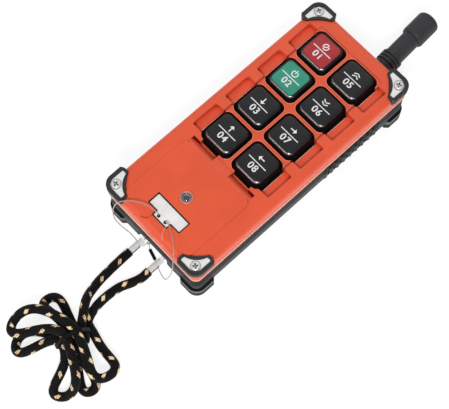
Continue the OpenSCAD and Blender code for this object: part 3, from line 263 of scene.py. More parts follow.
def key_rubber(name, color, roughness, **sockets):
    f = Finish(name, color, roughness, **sockets)
    f.mottle(300, 0.10)
    if sockets.get("Coat_Weight"):
        return f.material
    f.rough(800, roughness - 0.06, roughness + 0.06)
    f.bump(f.noise(3500, 2), 0.00002, 0.5)
    return f.material


def clear(name, color, roughness=0.04):
    f = Finish(name, color, roughness, IOR=1.48, Transmission_Weight=0.9)
    f.bump(f.noise(900, 2), 0.000005, 0.4)
    return f.material


def braid():
    f = Finish("braided_cord", (0.005, 0.005, 0.0055), 0.75, Sheen_Weight=0.05, Sheen_Roughness=0.5)
    f.shader.inputs["Specular IOR Level"].default_value = 0.15
    fleck = f.add("ShaderNodeAttribute", attribute_name="fleck")
    groove = f.add("ShaderNodeAttribute", attribute_name="groove")
    f.mottle(2500, 0.5)
    # Painted shade: the colour darkens in the grooves between the stitches.
    f.blend_color(groove.outputs["Fac"], (0.001, 0.001, 0.001), 0, 0.8)
    f.blend_color(f.ramp(fleck.outputs["Fac"], 0.2, 0.35, 0, 1), (0.62, 0.26, 0.13))
    f.blend_color(f.ramp(fleck.outputs["Fac"], 0.6, 0.8, 0, 1), (1.0, 0.90, 0.55))
    f.bump(f.noise(6000, 2, (1, 1, 1)), 0.00006, 0.6)
    return f.material


# The finishes, and the solids that keep their shape and only take one of them
ORANGE = orange_plastic()
# The rear shell's plastic is near black. Its grey between 4.4 and 11.5 mm is a painted highlight; the black
# bands above and below are its own black, with painted shade under the seam and along the bottom.
BLACK = (0.003, 0.003, 0.003)
SHELL_PAINTED_LIGHT = dark_plastic(
    "shell_plastic_painted_light", (0.075, 0.073, 0.075), 0.5, (0.2, 0.2, 0.21), 0.07,
    [(11.5, 19.6, BLACK), (0.5, 4.4, BLACK)], reach=0.0022,
)
BLACK_RUBBER = dark_plastic(
    "black_rubber", (0.032, 0.033, 0.035), 0.5, (0.11, 0.11, 0.115), 0.35, reach=0.0012,
)
# The grey band between 3.8 and 6.2 mm is a painted highlight along the foot bumpers' step.
FOOT_RUBBER = dark_plastic(
    "foot_rubber", (0.012, 0.013, 0.014), 0.5, (0.14, 0.14, 0.14), 0.12, [(3.8, 6.2, (0.2, 0.2, 0.2))],
)
ANTENNA_RUBBER = dark_plastic("antenna_rubber", (0.041, 0.040, 0.045), 0.55, (0.09, 0.09, 0.1), 0.3)
# Black for the real gasket, seals and crimp, and for the sheets and linings that paint shade in gaps and
# holes.
GASKET_AND_SHADE = dark_plastic("gasket_and_shade_black", (0.003, 0.003, 0.003), 0.7, (0.006, 0.006, 0.006), 0.1)
# Pale orange that paints highlights: on the shell's lip, the notches' inner edges and the right nail mark.
PAINTED_HIGHLIGHT_ORANGE = printed("orange_painted_highlight", (1.0, 0.52, 0.40), 0.4)
# Pale orange that paints the highlight on the key holes' edges.
WEB_EDGE_HIGHLIGHT = printed("orange_edge_highlight", (1.0, 0.30, 0.17), 0.4)
PLATE = metal("plate_nickel", (0.97, 0.95, 0.91), 0.4, (1, 6, 1), metallic=0.1)
SCREW = metal("screw_zinc", (0.84, 0.83, 0.80), 0.4, metallic=0.3, reach=0.0008)
# Near white and mostly diffuse: a painted reflection of the bright surroundings in the plated ferrules.
SATIN = metal("satin_nickel", (1.0, 1.0, 1.0), 0.25, metallic=0.1)
SLEEVE_DARK_REFLECTION = metal("sleeve_dark_reflection", (0.16, 0.16, 0.17), 0.3, metallic=0.5)
STEEL = metal("plated_steel", (0.72, 0.72, 0.73), 0.3)
CHROME = metal("bright_chrome", (0.86, 0.86, 0.87), 0.12)
BRASS = metal("brass", (0.66, 0.48, 0.22), 0.35)
KEY_SIDE = key_rubber("key_rubber", (0.004, 0.004, 0.005), 0.6, Specular_IOR_Level=0.1)
# A glossier copy of the key rubber for the edge faces that face the strip light: a lit copy that paints the
# highlight line.
KEY_EDGE_HIGHLIGHT = key_rubber(
    "key_edge", (0.010, 0.010, 0.012), 0.3, IOR=2.2, Coat_Weight=1.0, Coat_Roughness=0.3, Coat_IOR=2.4,
)
KEY_TOP = key_rubber("key_face_dark", (0.012, 0.012, 0.0145), 0.42, Specular_IOR_Level=0.4)
KEY_RED = key_rubber("key_face_red", (0.47, 0.022, 0.032), 0.4)
KEY_TEAL = key_rubber("key_face_teal", (0.03, 0.33, 0.22), 0.4)
WHITE_PRINT = printed("white_print", (1.0, 1.0, 1.0))
WHITE_PLASTIC = dark_plastic("white_plastic", (0.94, 0.925, 0.91), 0.35, (0.98, 0.98, 0.98))
LENS = clear("clear_lens", (0.66, 0.67, 0.76))
# The ring's pink is a painted highlight on its rim.
BEZEL = metal("bezel_pink", (0.66, 0.27, 0.22), 0.35, metallic=0.3)
LED = printed("led_body", (0.02, 0.03, 0.06), 0.25)
DISH = metal("lamp_dish", (0.80, 0.78, 0.84), 0.3, metallic=0.3)
BOARD = dark_plastic("board_green", (0.02, 0.14, 0.05), 0.35, (0.1, 0.3, 0.1))
MEMBRANE = dark_plastic("membrane_grey", (0.16, 0.16, 0.17), 0.5, (0.2, 0.2, 0.2))
CELL = dark_plastic("cell_blue", (0.05, 0.12, 0.35), 0.3, (0.1, 0.2, 0.45))
BRAID = braid()
TIE_BLACK = dark_plastic("tie_plastic", (0.004, 0.004, 0.0045), 0.5, (0.012, 0.012, 0.012), 0.15)
# Darker orange that paints the tabs' shadow on the webs' ends.
JOINT_SHADE = printed("orange_joint_shade", (0.50, 0.055, 0.024), 0.5)
# Dark red that paints the shade along the left nail mark.
NAIL_MARK = printed("nail_mark", (0.40, 0.030, 0.012), 0.5)

NODE_FINISH = {
    ORANGE: ["front_shell"],
    SHELL_PAINTED_LIGHT: ["rear_shell", "battery_cover"],
    GASKET_AND_SHADE: ["shell_gasket", "battery_cover_seal", "tether_crimp"],
    BLACK_RUBBER: [n for n in frame["nodes"] if "top_bumper" in n],
    FOOT_RUBBER: [n for n in frame["nodes"] if "foot_bumper" in n],
    ANTENNA_RUBBER: ["antenna_foot", "antenna_stem", "antenna_cap"],
    PLATE: ["corner_plates"],
    STEEL: [
        "board_screws", "radio_module", "battery_contacts", "battery_springs",
        "cover_screw_front", "cover_screw_rear", "key_magnet", "lanyard_bar",
    ],
    CHROME: ["tether_ring"],
    SATIN: ["lanyard_ferrules"],
    BRASS: ["antenna_core", "antenna_nut"],
    LENS: ["reed_switch"],
    LED: ["indicator_led"],
    BOARD: ["circuit_board"],
    MEMBRANE: ["keypad_membrane"],
    CELL: ["battery_cells"],
    WHITE_PLASTIC: ["magnetic_key"],
    TIE_BLACK: ["lanyard_tie"],
}


def dress(obj, material):
    """Puts the material on every slot of the object, or on a first one."""
    for slot in obj.material_slots:
        slot.material = material
    if not obj.material_slots:
        obj.data.materials.append(material)


for finish, names in NODE_FINISH.items():
    for name in names:
        dress(frame["nodes"][name], finish)


# Making pieces
def side_name(side):
    return "left" if side < 0 else "right"


def piece(name, mesh, body, material, replaced=()):
    """An object that rides on a body; a mesh that brings its own materials is given None."""
    obj = bpy.data.objects.new(name, mesh)
    scene.collection.objects.link(obj)
    if material:
        dress(obj, material)
    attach(obj, body)
    if replaced:
        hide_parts(*replaced)
    return obj


def mesh_of(name, vertices, faces, smooth=True):
    mesh = bpy.data.meshes.new(name)
    mesh.from_pydata([tuple(v) for v in vertices], [], faces)
    mesh.update()
    for polygon in mesh.polygons:
        polygon.use_smooth = smooth
    return mesh


def loft(name, rings, closed_low=True, closed_high=True, smooth=True):
    """A mesh through rings that have equally many points, with its ends filled."""
    count = len(rings[0])
    vertices = [p for ring in rings for p in ring]
    faces = []
    for i in range(len(rings) - 1):
        for k in range(count):
            a, b = i * count + k, i * count + (k + 1) % count
            faces.append((a, b, b + count, a + count))
    if closed_low:
        faces.append(tuple(range(count - 1, -1, -1)))
    if closed_high:
        top = (len(rings) - 1) * count
        faces.append(tuple(top + k for k in range(count)))
    return mesh_of(name, vertices, faces, smooth)


def round_outline(half_w, half_l, r, steps=8):
    """Points round a rectangle with round corners, counter-clockwise, in millimetres."""
    points = []
    for corner, (sx, sy) in enumerate([(1, 1), (-1, 1), (-1, -1), (1, -1)]):
        for i in range(steps + 1):
            turn = (corner + i / steps) * PI / 2
            points.append((
                sx * (half_w - r) + r * math.cos(turn),
                sy * (half_l - r) + r * math.sin(turn),
            ))
    return points


# Cords: a smooth line through a route, and a tube along it
def smooth_route(route, step):
    """Points about a step apart on a Catmull-Rom curve through the route."""
    points = [Vector(p) for p in route]
    padded = [2 * points[0] - points[1], *points, 2 * points[-1] - points[-2]]
    fine = []
    for p0, p1, p2, p3 in zip(padded, padded[1:], padded[2:], padded[3:]):
        pieces = max(2, math.ceil((p2 - p1).length / step * 3))
        for i in range(pieces):
            t = i / pieces
            fine.append(0.5 * (
                2 * p1 + (p2 - p0) * t + (2 * p0 - 5 * p1 + 4 * p2 - p3) * t * t
                + (3 * p1 - 3 * p2 + p3 - p0) * t ** 3
            ))
    fine.append(points[-1])
    lengths = [0.0]
    for a, b in zip(fine, fine[1:]):
        lengths.append(lengths[-1] + (b - a).length)
    count = max(2, round(lengths[-1] / step))
    spaced, j = [], 0
    for i in range(count + 1):
        wanted = lengths[-1] * i / count
        while j < len(fine) - 2 and lengths[j + 1] < wanted:
            j += 1
        share = (wanted - lengths[j]) / max(lengths[j + 1] - lengths[j], 1e-12)
        spaced.append(fine[j].lerp(fine[j + 1], min(1, max(0, share))))
    return spaced


def carried_frames(points):
    """Two directions square to the line at each point, carried along without a twist."""
    side = None
    frames = []
    for i in range(len(points)):
        way = (points[min(i + 1, len(points) - 1)] - points[max(i - 1, 0)]).normalized()
        if side is None:
            side = way.cross(Vector((0, 0, 1) if abs(way.z) < 0.9 else (0, 1, 0)))
        side = (side - side.dot(way) * way).normalized()
        frames.append((side, side.cross(way)))
    return frames


def tube(name, points, radius, sides, shape=None):
    """A tube along the points; shape(turn, distance) gives its radius and attributes there."""
    frames = carried_frames(points)
    vertices, values = [], {"fleck": [], "groove": []}
    distance = 0.0
    for i, (p, (side, up)) in enumerate(zip(points, frames)):
        if i:
            distance += (p - points[i - 1]).length
        for k in range(sides):
            turn = 2 * PI * k / sides
            r, fleck, groove = shape(turn, distance) if shape else (radius, 0, 0)
            vertices.append(p + r * (math.cos(turn) * side + math.sin(turn) * up))
            values["fleck"].append(fleck)
            values["groove"].append(groove)
    faces = []
    for i in range(len(points) - 1):
        for k in range(sides):
            a, b = i * sides + k, i * sides + (k + 1) % sides
            faces.append((a, a + sides, b + sides, b))
    last = (len(points) - 1) * sides
    faces.append(tuple(range(sides)))
    faces.append(tuple(last + k for k in range(sides - 1, -1, -1)))
    mesh = mesh_of(name, vertices, faces)
    if shape:
        for key, numbers in values.items():
            mesh.attributes.new(key, "FLOAT", "POINT").data.foreach_set("value", numbers)
    return mesh


# The hank's loops by the same formula as the solids
CORD_R = 2.15
HANK_AT = (7.8, -117.3)
HANK_TURN = math.radians(-15)
WAIST_LAYER = (3.2, 8, 12.8)
LOOP_RINGS = 24
LOBE_SHARE = 0.65
SLOTS = [(2.4, 0), (-0.7, 1), (-3, 0), (-5.5, 1), (-2.9, 2), (2.2, 2), (8.6, 0)]
HANK_LOOPS = [
    ((-22.6, -2.3), 2.25, 2.7, 1, 5, -1),
    ((23.2, -3.5), 2.25, 2.6, 1.5, 1, 1),
    ((-10.5, -23.5), 2.25, 4.4, 1, 4, -1),
    ((19.5, -15.5), 2.25, 4.2, 2, 6, -1),
    ((-18.5, -20.5), 7.4, 4.7, 3, 6, 1),
    ((22, 5.5), 7.8, 3, 2, 3, -1),
]
HANK_HOOK = [
    (-7.2, 8.1, 8.1), (-3.6, 5.6, 8.1), (-1.2, 4.9, 8.1), (0.8, 4.8, 8.1), (2.3, 4.4, 7.2),
    (2.9, 3.7, 5.6), (2.4, 2.8, 4.1), (1.3, 2.5, 3.3),
]


def hank_place(u, v, z):
    return at(
        HANK_AT[0] + u * math.cos(HANK_TURN) - v * math.sin(HANK_TURN),
        HANK_AT[1] + u * math.sin(HANK_TURN) + v * math.cos(HANK_TURN),
        z,
    )


def loop_point(loop, start, end, t):
    (tip_u, tip_v), tip_z, half_width, drops, rises, way = loop
    reach = (tip_u, tip_v - (start[0] + end[0]) / 2)
    size = math.hypot(*reach)
    side = (-reach[1] / size, reach[0] / size)
    out = math.sin(PI * t)
    lobe = way * half_width / LOBE_SHARE * math.sin(2 * PI * t) * out * out
    slot_z = WAIST_LAYER[start[1] if t < 0.5 else end[1]]
    return hank_place(
        reach[0] * out + side[0] * lobe,
        start[0] + (end[0] - start[0]) * (t - math.sin(2 * PI * t) / (2 * PI))
        + reach[1] * out * out + side[1] * lobe,
        slot_z + (tip_z - slot_z) * out ** (drops if t < 0.5 else rises),
    )


hank_route = [hank_place(*p) for p in HANK_HOOK]
for loop, start, end in zip(HANK_LOOPS, SLOTS, SLOTS[1:]):
    rings = LOOP_RINGS - 1 if loop is HANK_LOOPS[-1] else LOOP_RINGS
    hank_route += [loop_point(loop, start, end, i / LOOP_RINGS) for i in range(rings)]
hank_route.append(loop_point(HANK_LOOPS[-1], SLOTS[-2], SLOTS[-1], 1))

strand_left = [at(*p) for p in [
    (-6.3, -72.8, 2.5), (-6.3, -77.2, 2.5), (-6.1, -84, 2.2), (-5.6, -91, 2.2),
    (-4.6, -95.8, 2.8), (-3.3, -99.2, 4.8), (-1.7, -101.9, 7),
]]
strand_right = [at(*p) for p in [
    (6.3, -72.8, 2.5), (6.3, -77.2, 2.5), (4.8, -82, 2.2), (3, -86.6, 2.2), (2.2, -91.6, 2.2),
    (2.1, -97, 2.2), (2.7, -101.6, 2.3), (4, -105.4, 2.8),
]]


def before(end, following):
    return end - 2 * CORD_R * MM * (following - end).normalized()


lanyard_route = [
    *strand_left, before(hank_route[0], hank_route[1]), *hank_route,
    before(hank_route[-1], hank_route[-2]), *reversed(strand_right),
]

# The braid: stitches round the cord, and light flecks by their place along and round it
STITCHES = 12
STITCH_L = 2 * PI * CORD_R / STITCHES * MM
STEP = STITCH_L / 4
STITCH_DEPTH = 0.22
HALF_PITCH = 10
LIGHT, EDGE_LIGHT = 1.0, 0.55
FLECKS = {
    (0, 0): LIGHT, (2, 0): LIGHT, (1, 1): LIGHT, (3, 1): LIGHT, (2, 2): LIGHT,
    (4, 2): EDGE_LIGHT, (1, 11): EDGE_LIGHT,
}


def braided(turn, distance):
    """Radius, fleck and groove where two families of strands pass over each other; the braid darkens the
    groove as painted shade.
    """
    a = STITCHES * turn / (2 * PI) + distance / STITCH_L
    b = STITCHES * turn / (2 * PI) - distance / STITCH_L
    i, j = math.floor(a), math.floor(b)
    over = (i + j) % 2 == 0
    across = (a - i if over else b - j) - 0.5
    along = (b - j if over else a - i) - 0.5
    crown = 1 - (2 * across) ** 2 * 0.8 - (2 * along) ** 4 * 0.3
    along_cord, round_cord = i - j, (i + j) % (2 * STITCHES)
    later = along_cord % (2 * HALF_PITCH) >= HALF_PITCH
    here = (along_cord % HALF_PITCH, (round_cord + (STITCHES // 2 if later else 0)) % STITCHES)
    fleck = FLECKS.get(here, 0.0)
    if abs(across) > 0.42 or abs(along) > 0.47:
        fleck = 0.0
    return (CORD_R - STITCH_DEPTH * (1 - max(0.0, crown))) * MM, fleck, max(0.0, 1 - crown * 1.4)


line = smooth_route(lanyard_route, STEP)
lanyard = piece(
    "lanyard_cord", tube("lanyard_cord", line, CORD_R * MM, STITCHES * 4, braided), ROOT, BRAID,
    ("lanyard_strand_left", "lanyard_strand_right", "lanyard_hank"),
)

# The tether: out of its crimp, through the key's holes, down both sides and through its ring
crimp_from, crimp_to = at(-1.3, -65.4, 1.4), at(3.8, -66.8, 0.9)
TETHER_R = 0.25
WIRE_STEP = 0.5 * MM
crimp_lead = 2 * TETHER_R * MM * (crimp_to - crimp_from).normalized()
tether_route = [crimp_to, crimp_to + crimp_lead, *(at(*p) for p in [
    (5.7, -67.4, 0.5), (8.4, -68.6, 0.5), (11.4, -69.6, 0.8), (13.6, -69.9, 1.8), (15, -69.4, 5),
    (16.2, -68.6, 11), (17, -67.8, 18), (17.3, -67.2, 24), (16.9, -66.6, 28.4), (15.6, -64.9, 31),
    (13.7, -63, 32), (9.4, -60, 32.6), (5.6, -58, 32.6), (3.4, -57.4, 32.2), (2.3, -57.5, 31.2),
    (2.05, -57.5, 30), (2.05, -57.5, 28.6), (1.5, -57.5, 27.85), (-1.5, -57.5, 27.85),
    (-2.05, -57.5, 28.6), (-2.05, -57.5, 30), (-2.3, -57.5, 31.2), (-3.6, -57.4, 32.2),
    (-7, -58, 32.6), (-11.5, -59.9, 32.6), (-15, -62.6, 32.4), (-17.4, -65.4, 31.9),
    (-18.6, -66.9, 29.8), (-19.8, -67.7, 25.4), (-20.8, -68.1, 19.6), (-21.6, -68.2, 12),
    (-21.5, -68, 6), (-20.2, -67.6, 2.2), (-17.6, -67.2, 0.8), (-13.4, -66.6, 0.5),
    (-9.4, -66.7, 0.5), (-6.3, -66.9, 0.5), (-4.7, -66.4, 0.9), (-4.3, -65.4, 2.2),
    (-4.1, -64.5, 3), (-3.5, -64.3, 3.2), (-2.9, -64.3, 3), (-2.3, -64.7, 2.3),
]), crimp_from - crimp_lead, crimp_from]


def wire_finish():
    f = Finish("clear_coated_wire", (0.66, 0.58, 0.56), 0.2, IOR=1.5, Transmission_Weight=0.6)
    f.mottle(500, 0.05)
    f.bump(f.noise(5000, 2), 0.00002, 0.5)
    return f.material


wire_line = smooth_route(tether_route, WIRE_STEP)
tether = bpy.data.objects.new("tether_wire", tube("tether_wire", wire_line, TETHER_R * MM, 12))
scene.collection.objects.link(tether)
dress(tether, wire_finish())
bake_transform(tether)
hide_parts("key_tether")

# Keys: a cap, a face and its signs, in two columns and four rows
KEY_PITCH_X, KEY_PITCH_Y, KEY_FIRST_Y = 19.2, 19.35, 47.5
WELL_Z, KEY_H = 27, 5
KEY_TOP_Z = WELL_Z + KEY_H
KEYS = {
    "stop": (0, 0, KEY_RED), "start": (0, 1, KEY_TEAL), "south": (0, 2, KEY_TOP), "north": (0, 3, KEY_TOP),
    "up": (1, 0, KEY_TOP), "down": (1, 1, KEY_TOP), "east": (1, 2, KEY_TOP), "west": (1, 3, KEY_TOP),
}


def key_place(column, row):
    return (column - 0.5) * KEY_PITCH_X, KEY_FIRST_Y - row * KEY_PITCH_Y


def key_rings(x, y, levels):
    """Round outlines about the key's centre, from (half width, height, corner radius)."""
    return [[at(x + px, y + py, z) for px, py in round_outline(half, half, r)] for half, z, r in levels]


def key_cap_mesh(name, x, y):
    """A cap with drawn-in sides and a soft edge round its top."""
    levels = [
        (9.35, 24.1, 3.2), (9.35, 25.05, 3.2), (8.6, 25.1, 2.9), (8.6, 27.0, 2.9), (8.56, 27.6, 2.9),
        (8.35, 28.5, 2.9), (7.95, 29.7, 2.9), (7.6, 30.7, 2.9), (7.5, 30.95, 2.9),
    ]
    edge, steps = 0.95, 7
    for i in range(1, steps + 1):
        turn = i / steps * PI / 2
        levels.append((
            7.5 - 0.1 * i / steps - edge * (1 - math.cos(turn)),
            KEY_TOP_Z - edge + edge * math.sin(turn) - 0.02,
            2.9 - 0.7 * i / steps,
        ))
    levels += [(6.0, KEY_TOP_Z, 2.2), (3.0, KEY_TOP_Z, 1.2), (0.6, KEY_TOP_Z, 0.3)]
    mesh = loft(name, key_rings(x, y, levels))
    for finish in (KEY_SIDE, KEY_EDGE_HIGHLIGHT, KEY_TOP):
        mesh.materials.append(finish)
    for polygon in mesh.polygons:
        # Edge faces turned toward -Y take the glossier copy, so only they show the highlight line.
        turned = polygon.normal.y < -0.2 and polygon.normal.x > -0.35
        above = polygon.center.z > (KEY_TOP_Z - edge) * MM
        polygon.material_index = (1 if turned else 2) if above else 0
    return mesh


def key_face_mesh(name, x, y):
    """The coloured or dark face let into the cap's top, a little proud of it."""
    high = KEY_TOP_Z + 0.06
    return loft(name, key_rings(x, y, [
        (6.5, KEY_TOP_Z - 0.5, 2.1), (6.5, KEY_TOP_Z - 0.02, 2.1), (6.4, KEY_TOP_Z + 0.04, 2.05),
        (6.2, high, 2.0), (3.0, high, 0.9), (0.5, high, 0.2),
    ]))


def bar(x0, y0, x1, y1, width):
    """Corner points of a straight stroke in the plane."""
    way = Vector((x1 - x0, y1 - y0)).normalized()
    side = Vector((-way.y, way.x)) * width / 2
    a, b = Vector((x0, y0)), Vector((x1, y1))
    return [a - side, b - side, b + side, a + side]


def arrow(turn, length=3.4, head=2.6, width=0.5):
    """An arrow that points along the turn, as two polygons."""
    tail, tip, neck = -length / 2, length / 2, length / 2 - head / 2
    shapes = [
        [(tail, -width / 2), (neck, -width / 2), (neck, width / 2), (tail, width / 2)],
        [(neck, -head / 2), (tip, 0), (neck, head / 2)],
    ]
    c, s = math.cos(turn), math.sin(turn)
    return [[(x * c - y * s, x * s + y * c) for x, y in shape] for shape in shapes]


def ring_sign(r, width, gap=0.0, count=28):
    """A ring as a chain of quads, left open by a gap at the top."""
    shapes = []
    start = PI / 2 + gap
    span = 2 * PI - 2 * gap
    for i in range(count):
        a, b = start + span * i / count, start + span * (i + 1) / count
        corners = ((r - width, a), (r, a), (r, b), (r - width, b))
        shapes.append([(reach * math.cos(turn), reach * math.sin(turn)) for reach, turn in corners])
    return shapes


STROKE = 0.5


def chevrons(way):
    """Two open arrowheads, one above the other."""
    return [
        bar(x * 1.6, y - way * 0.5, -x * 0.12, y + way * 0.65, STROKE) for y in (-0.7, 0.7) for x in (-1, 1)
    ]


SIGNS = {
    "stop": ring_sign(1.7, STROKE) + [bar(-1.2, -1.2, 1.2, 1.2, STROKE)],
    "start": ring_sign(1.7, STROKE, 0.5) + [bar(0, 0.1, 0, 2.0, STROKE)],
    "south": arrow(-PI / 2), "north": arrow(PI / 2), "east": arrow(0), "west": arrow(PI),
    "up": chevrons(1), "down": chevrons(-1),
}


def evaluated_mesh(obj):
    """A mesh of the object as it stands, its modifiers or its curve worked out."""
    bpy.context.view_layer.update()
    return bpy.data.meshes.new_from_object(obj.evaluated_get(bpy.context.evaluated_depsgraph_get()))


def digits_mesh(text, size):
    """The numerals as a flat mesh from Blender's own font."""
    curve = bpy.data.curves.new("digits", "FONT")
    curve.body = text
    curve.size = size
    curve.align_x = "CENTER"
    curve.align_y = "CENTER"
    curve.offset = size * 0.022
    curve.space_character = 1.12
    obj = bpy.data.objects.new("digits", curve)
    scene.collection.objects.link(obj)
    mesh = evaluated_mesh(obj)
    bpy.data.objects.remove(obj)
    return mesh


def key_marks_mesh(name, number, x, y):
    """The sign above a line and the number below it, as thin raised print."""
    z = KEY_TOP_Z + 0.075
    sign_y, number_y, number_size, thickness = 2.7, -2.75, 4.6, 0.02
    bm = bmesh.new()
    shapes = [[(px, py + sign_y) for px, py in shape] for shape in SIGNS[name]]
    shapes.append(bar(-5.2, 0.05, 5.2, 0.05, 0.42))
    for shape in shapes:
        bm.faces.new([bm.verts.new(at(x + px, y + py, z)) for px, py in shape])
    numerals = digits_mesh(number, number_size)
    numerals.transform(Matrix.Diagonal((MM, MM, MM, 1)))
    numerals.transform(Matrix.Translation(at(x, y + number_y, z)))
    bm.from_mesh(numerals)
    bmesh.ops.recalc_face_normals(bm, faces=bm.faces)
    for face in bm.faces:
        if face.normal.z < 0:
            face.normal_flip()
    lifted = bmesh.ops.extrude_face_region(bm, geom=list(bm.faces))
    upper = [part for part in lifted["geom"] if isinstance(part, bmesh.types.BMVert)]
    bmesh.ops.translate(bm, vec=(0, 0, thickness * MM), verts=upper)
    mesh = bpy.data.meshes.new(name + "_marks")
    bm.to_mesh(mesh)
    bm.free()
    return mesh


for order, (name, (column, row, face_finish)) in enumerate(KEYS.items()):
    x, y = key_place(column, row)
    body, cap, face = name + "_button", name + "_key", name + "_key_face"
    piece(name + "_cap", key_cap_mesh(name + "_cap", x, y), body, None, (cap,))
    piece(name + "_top", key_face_mesh(name + "_top", x, y), body, face_finish, (face,))
    piece(name + "_marks", key_marks_mesh(name, f"{order + 1:02d}", x, y), body, WHITE_PRINT)


def joined(name, meshes):
    """One mesh of several, with its faces turned outward."""
    bm = bmesh.new()
    for mesh in meshes:
        bm.from_mesh(mesh)
    bmesh.ops.recalc_face_normals(bm, faces=bm.faces)
    whole = bpy.data.meshes.new(name)
    bm.to_mesh(whole)
    bm.free()
    return whole


# The well: its levels, and the place of its walls
WELL_BASE = 26.95
SHADE_SHEET_TOP, JOINT_TOP = 27.14, 29.52
WEB_TOP, SHELL_TOP, PANEL_TOP = 29.68, 29.98, 30.4
WELL_X, WELL_LOW, WELL_HIGH = 19.2, -21, 57.1
KEY_HALF = 8.6


# Black sheets on the well's floor beside the outer keys, painting the shade in the gaps there, and joints
# between webs and tabs
def slab(name, x_range, y_range, high, r, material):
    """A thin plate with round corners and a soft top edge, from the well's floor up."""
    (x0, x1), (y0, y1) = sorted(x_range), y_range
    middle_x, middle_y = (x0 + x1) / 2, (y0 + y1) / 2
    outline = [
        (px + middle_x, py + middle_y) for px, py in round_outline((x1 - x0) / 2, (y1 - y0) / 2, r)
    ]
    soft = (high - WELL_BASE) * 0.4
    rings = []
    for share, z in ((1, WELL_BASE), (1, high - soft), (0.985, high)):
        rings.append([
            at(middle_x + (px - middle_x) * share, middle_y + (py - middle_y) * share, z)
            for px, py in outline
        ])
    piece(name, loft(name, rings, smooth=False), ROOT, material)


# A black sheet on the well's floor, painting the shade in a gap beside a key.
def seal(name, x_range, y_range, r):
    slab(name, x_range, y_range, SHADE_SHEET_TOP, r, GASKET_AND_SHADE)


for side in (-1, 1):
    for row in range(4):
        x, y = key_place(0, row)
        seal(f"well_seal_{side_name(side)}_{row + 1}", (side * 18.25, side * 19.35),
             (y - KEY_HALF + 0.6, y + KEY_HALF - 1.6), 0.5)
for side in (-1, 1):
    where = side_name(side)
    x = side * KEY_PITCH_X / 2
    seal("well_seal_low_" + where, (x - KEY_HALF + 1.2, x + KEY_HALF - 1.2), (-20.1, -19.2), 0.42)
    seal("well_seal_top_" + where, (x - KEY_HALF + 0.4, x + KEY_HALF - 0.4), (56.42, 57.08), 0.3)
    for row in range(3):
        y = KEY_FIRST_Y - (row + 0.5) * KEY_PITCH_Y
        # The joints are darker as a painted shadow of the tabs.
        slab(f"web_joint_{where}_{row + 1}", (side * 18.1, side * 19.25), (y - 2.1, y + 2.1), JOINT_TOP, 0.1,
             JOINT_SHADE)


# The well's ends, filled from the key holes to its walls
HOLE_HALF, HOLE_R = 8.9, 3.2
BLOCK_X = 5


def corner_arc(x, y, start, end, steps=8):
    """Points round the corner of a key hole, between two angles in quarter turns."""
    points = []
    for i in range(steps + 1):
        turn = (start + (end - start) * i / steps) * PI / 2
        points.append((x + HOLE_R * math.cos(turn), y + HOLE_R * math.sin(turn)))
    return points


def prism(name, outline, high):
    rings = [[at(px, py, z) for px, py in outline] for z in (WELL_BASE, high)]
    piece(name, loft(name, rings, smooth=False), ROOT, ORANGE)


out_x = KEY_PITCH_X / 2 + HOLE_HALF - HOLE_R
in_x = KEY_PITCH_X / 2 - HOLE_HALF + HOLE_R
top_y = KEY_FIRST_Y + HOLE_HALF - HOLE_R
low_y = KEY_FIRST_Y - 3 * KEY_PITCH_Y - HOLE_HALF + HOLE_R
hole_top, hole_low = top_y + HOLE_R, low_y - HOLE_R
arc_part = 0.65
arc_end_y = low_y - HOLE_R * math.sin((1 - arc_part) * PI / 2)
prism("well_end_top", [
    (WELL_X, WELL_HIGH), (-WELL_X, WELL_HIGH), (-WELL_X, top_y), *corner_arc(-out_x, top_y, 2, 1),
    (-2.5, hole_top), (-2.4, 56.05), (2.4, 56.05), (2.5, hole_top), *corner_arc(out_x, top_y, 1, 0),
    (WELL_X, top_y),
], WEB_TOP)
prism("well_end_low", [
    (-BLOCK_X, WELL_LOW), (BLOCK_X, WELL_LOW), (BLOCK_X, hole_low), (in_x, hole_low), (3.2, -19.37),
    (2.5, -19.12), (-2.5, -19.12), (-3.2, -19.37), (-in_x, hole_low), (-BLOCK_X, hole_low),
], WEB_TOP)
prism("well_corner_left", [
    (-WELL_X, WELL_LOW), (-out_x, WELL_LOW), *corner_arc(-out_x, low_y, 3, 3 - arc_part),
    (-WELL_X, arc_end_y),
], SHELL_TOP)
prism("well_corner_right", [
    (out_x, WELL_LOW), (WELL_X, WELL_LOW), (WELL_X, arc_end_y),
    *corner_arc(out_x, low_y, 3 + arc_part, 3),
], SHELL_TOP)

# Rounded faces over the two ramps, and a slope over the block between them
RAMP_L = 3.8


def ramp_face(name, x0, x1, drop, power, depth):
    """A slope from the panel down to the well; its underside lies in the case, depth below."""
    steps = 12
    profile = [
        (WELL_LOW - RAMP_L * (1 - i / steps), PANEL_TOP - 0.02 - drop * (i / steps) ** power)
        for i in range(steps + 1)
    ]
    profile += [(WELL_LOW, PANEL_TOP - depth), (WELL_LOW - RAMP_L, PANEL_TOP - 0.7)]
    rings = [[at(x, y, z) for y, z in profile] for x in (x0, x1)]
    piece(name, loft(name, rings, smooth=False), ROOT, ORANGE)


ramp_face("ramp_face_left", -WELL_X, -BLOCK_X, 3.36, 1.9, 3.7)
ramp_face("ramp_face_right", BLOCK_X, WELL_X, 3.36, 1.9, 3.7)
ramp_face("ramp_block_face", -BLOCK_X, BLOCK_X, 0.4, 1, 0.7)

# Thin pale lines at the notches' inner edges, a painted highlight
BEAD_SIDES = 8
for side in (-1, 1):
    name = "notch_rims_" + side_name(side)
    lines = []
    for row in range(4):
        x, y = key_place(0, row)
        run = [at(side * 19.42, y + KEY_HALF * share, 27.1) for share in (-0.78, -0.4, 0, 0.4, 0.78)]
        lines.append(tube(f"{name}_{row}", run, 0.15 * MM, BEAD_SIDES))
    piece(name, joined(name, lines), ROOT, PAINTED_HIGHLIGHT_ORANGE)

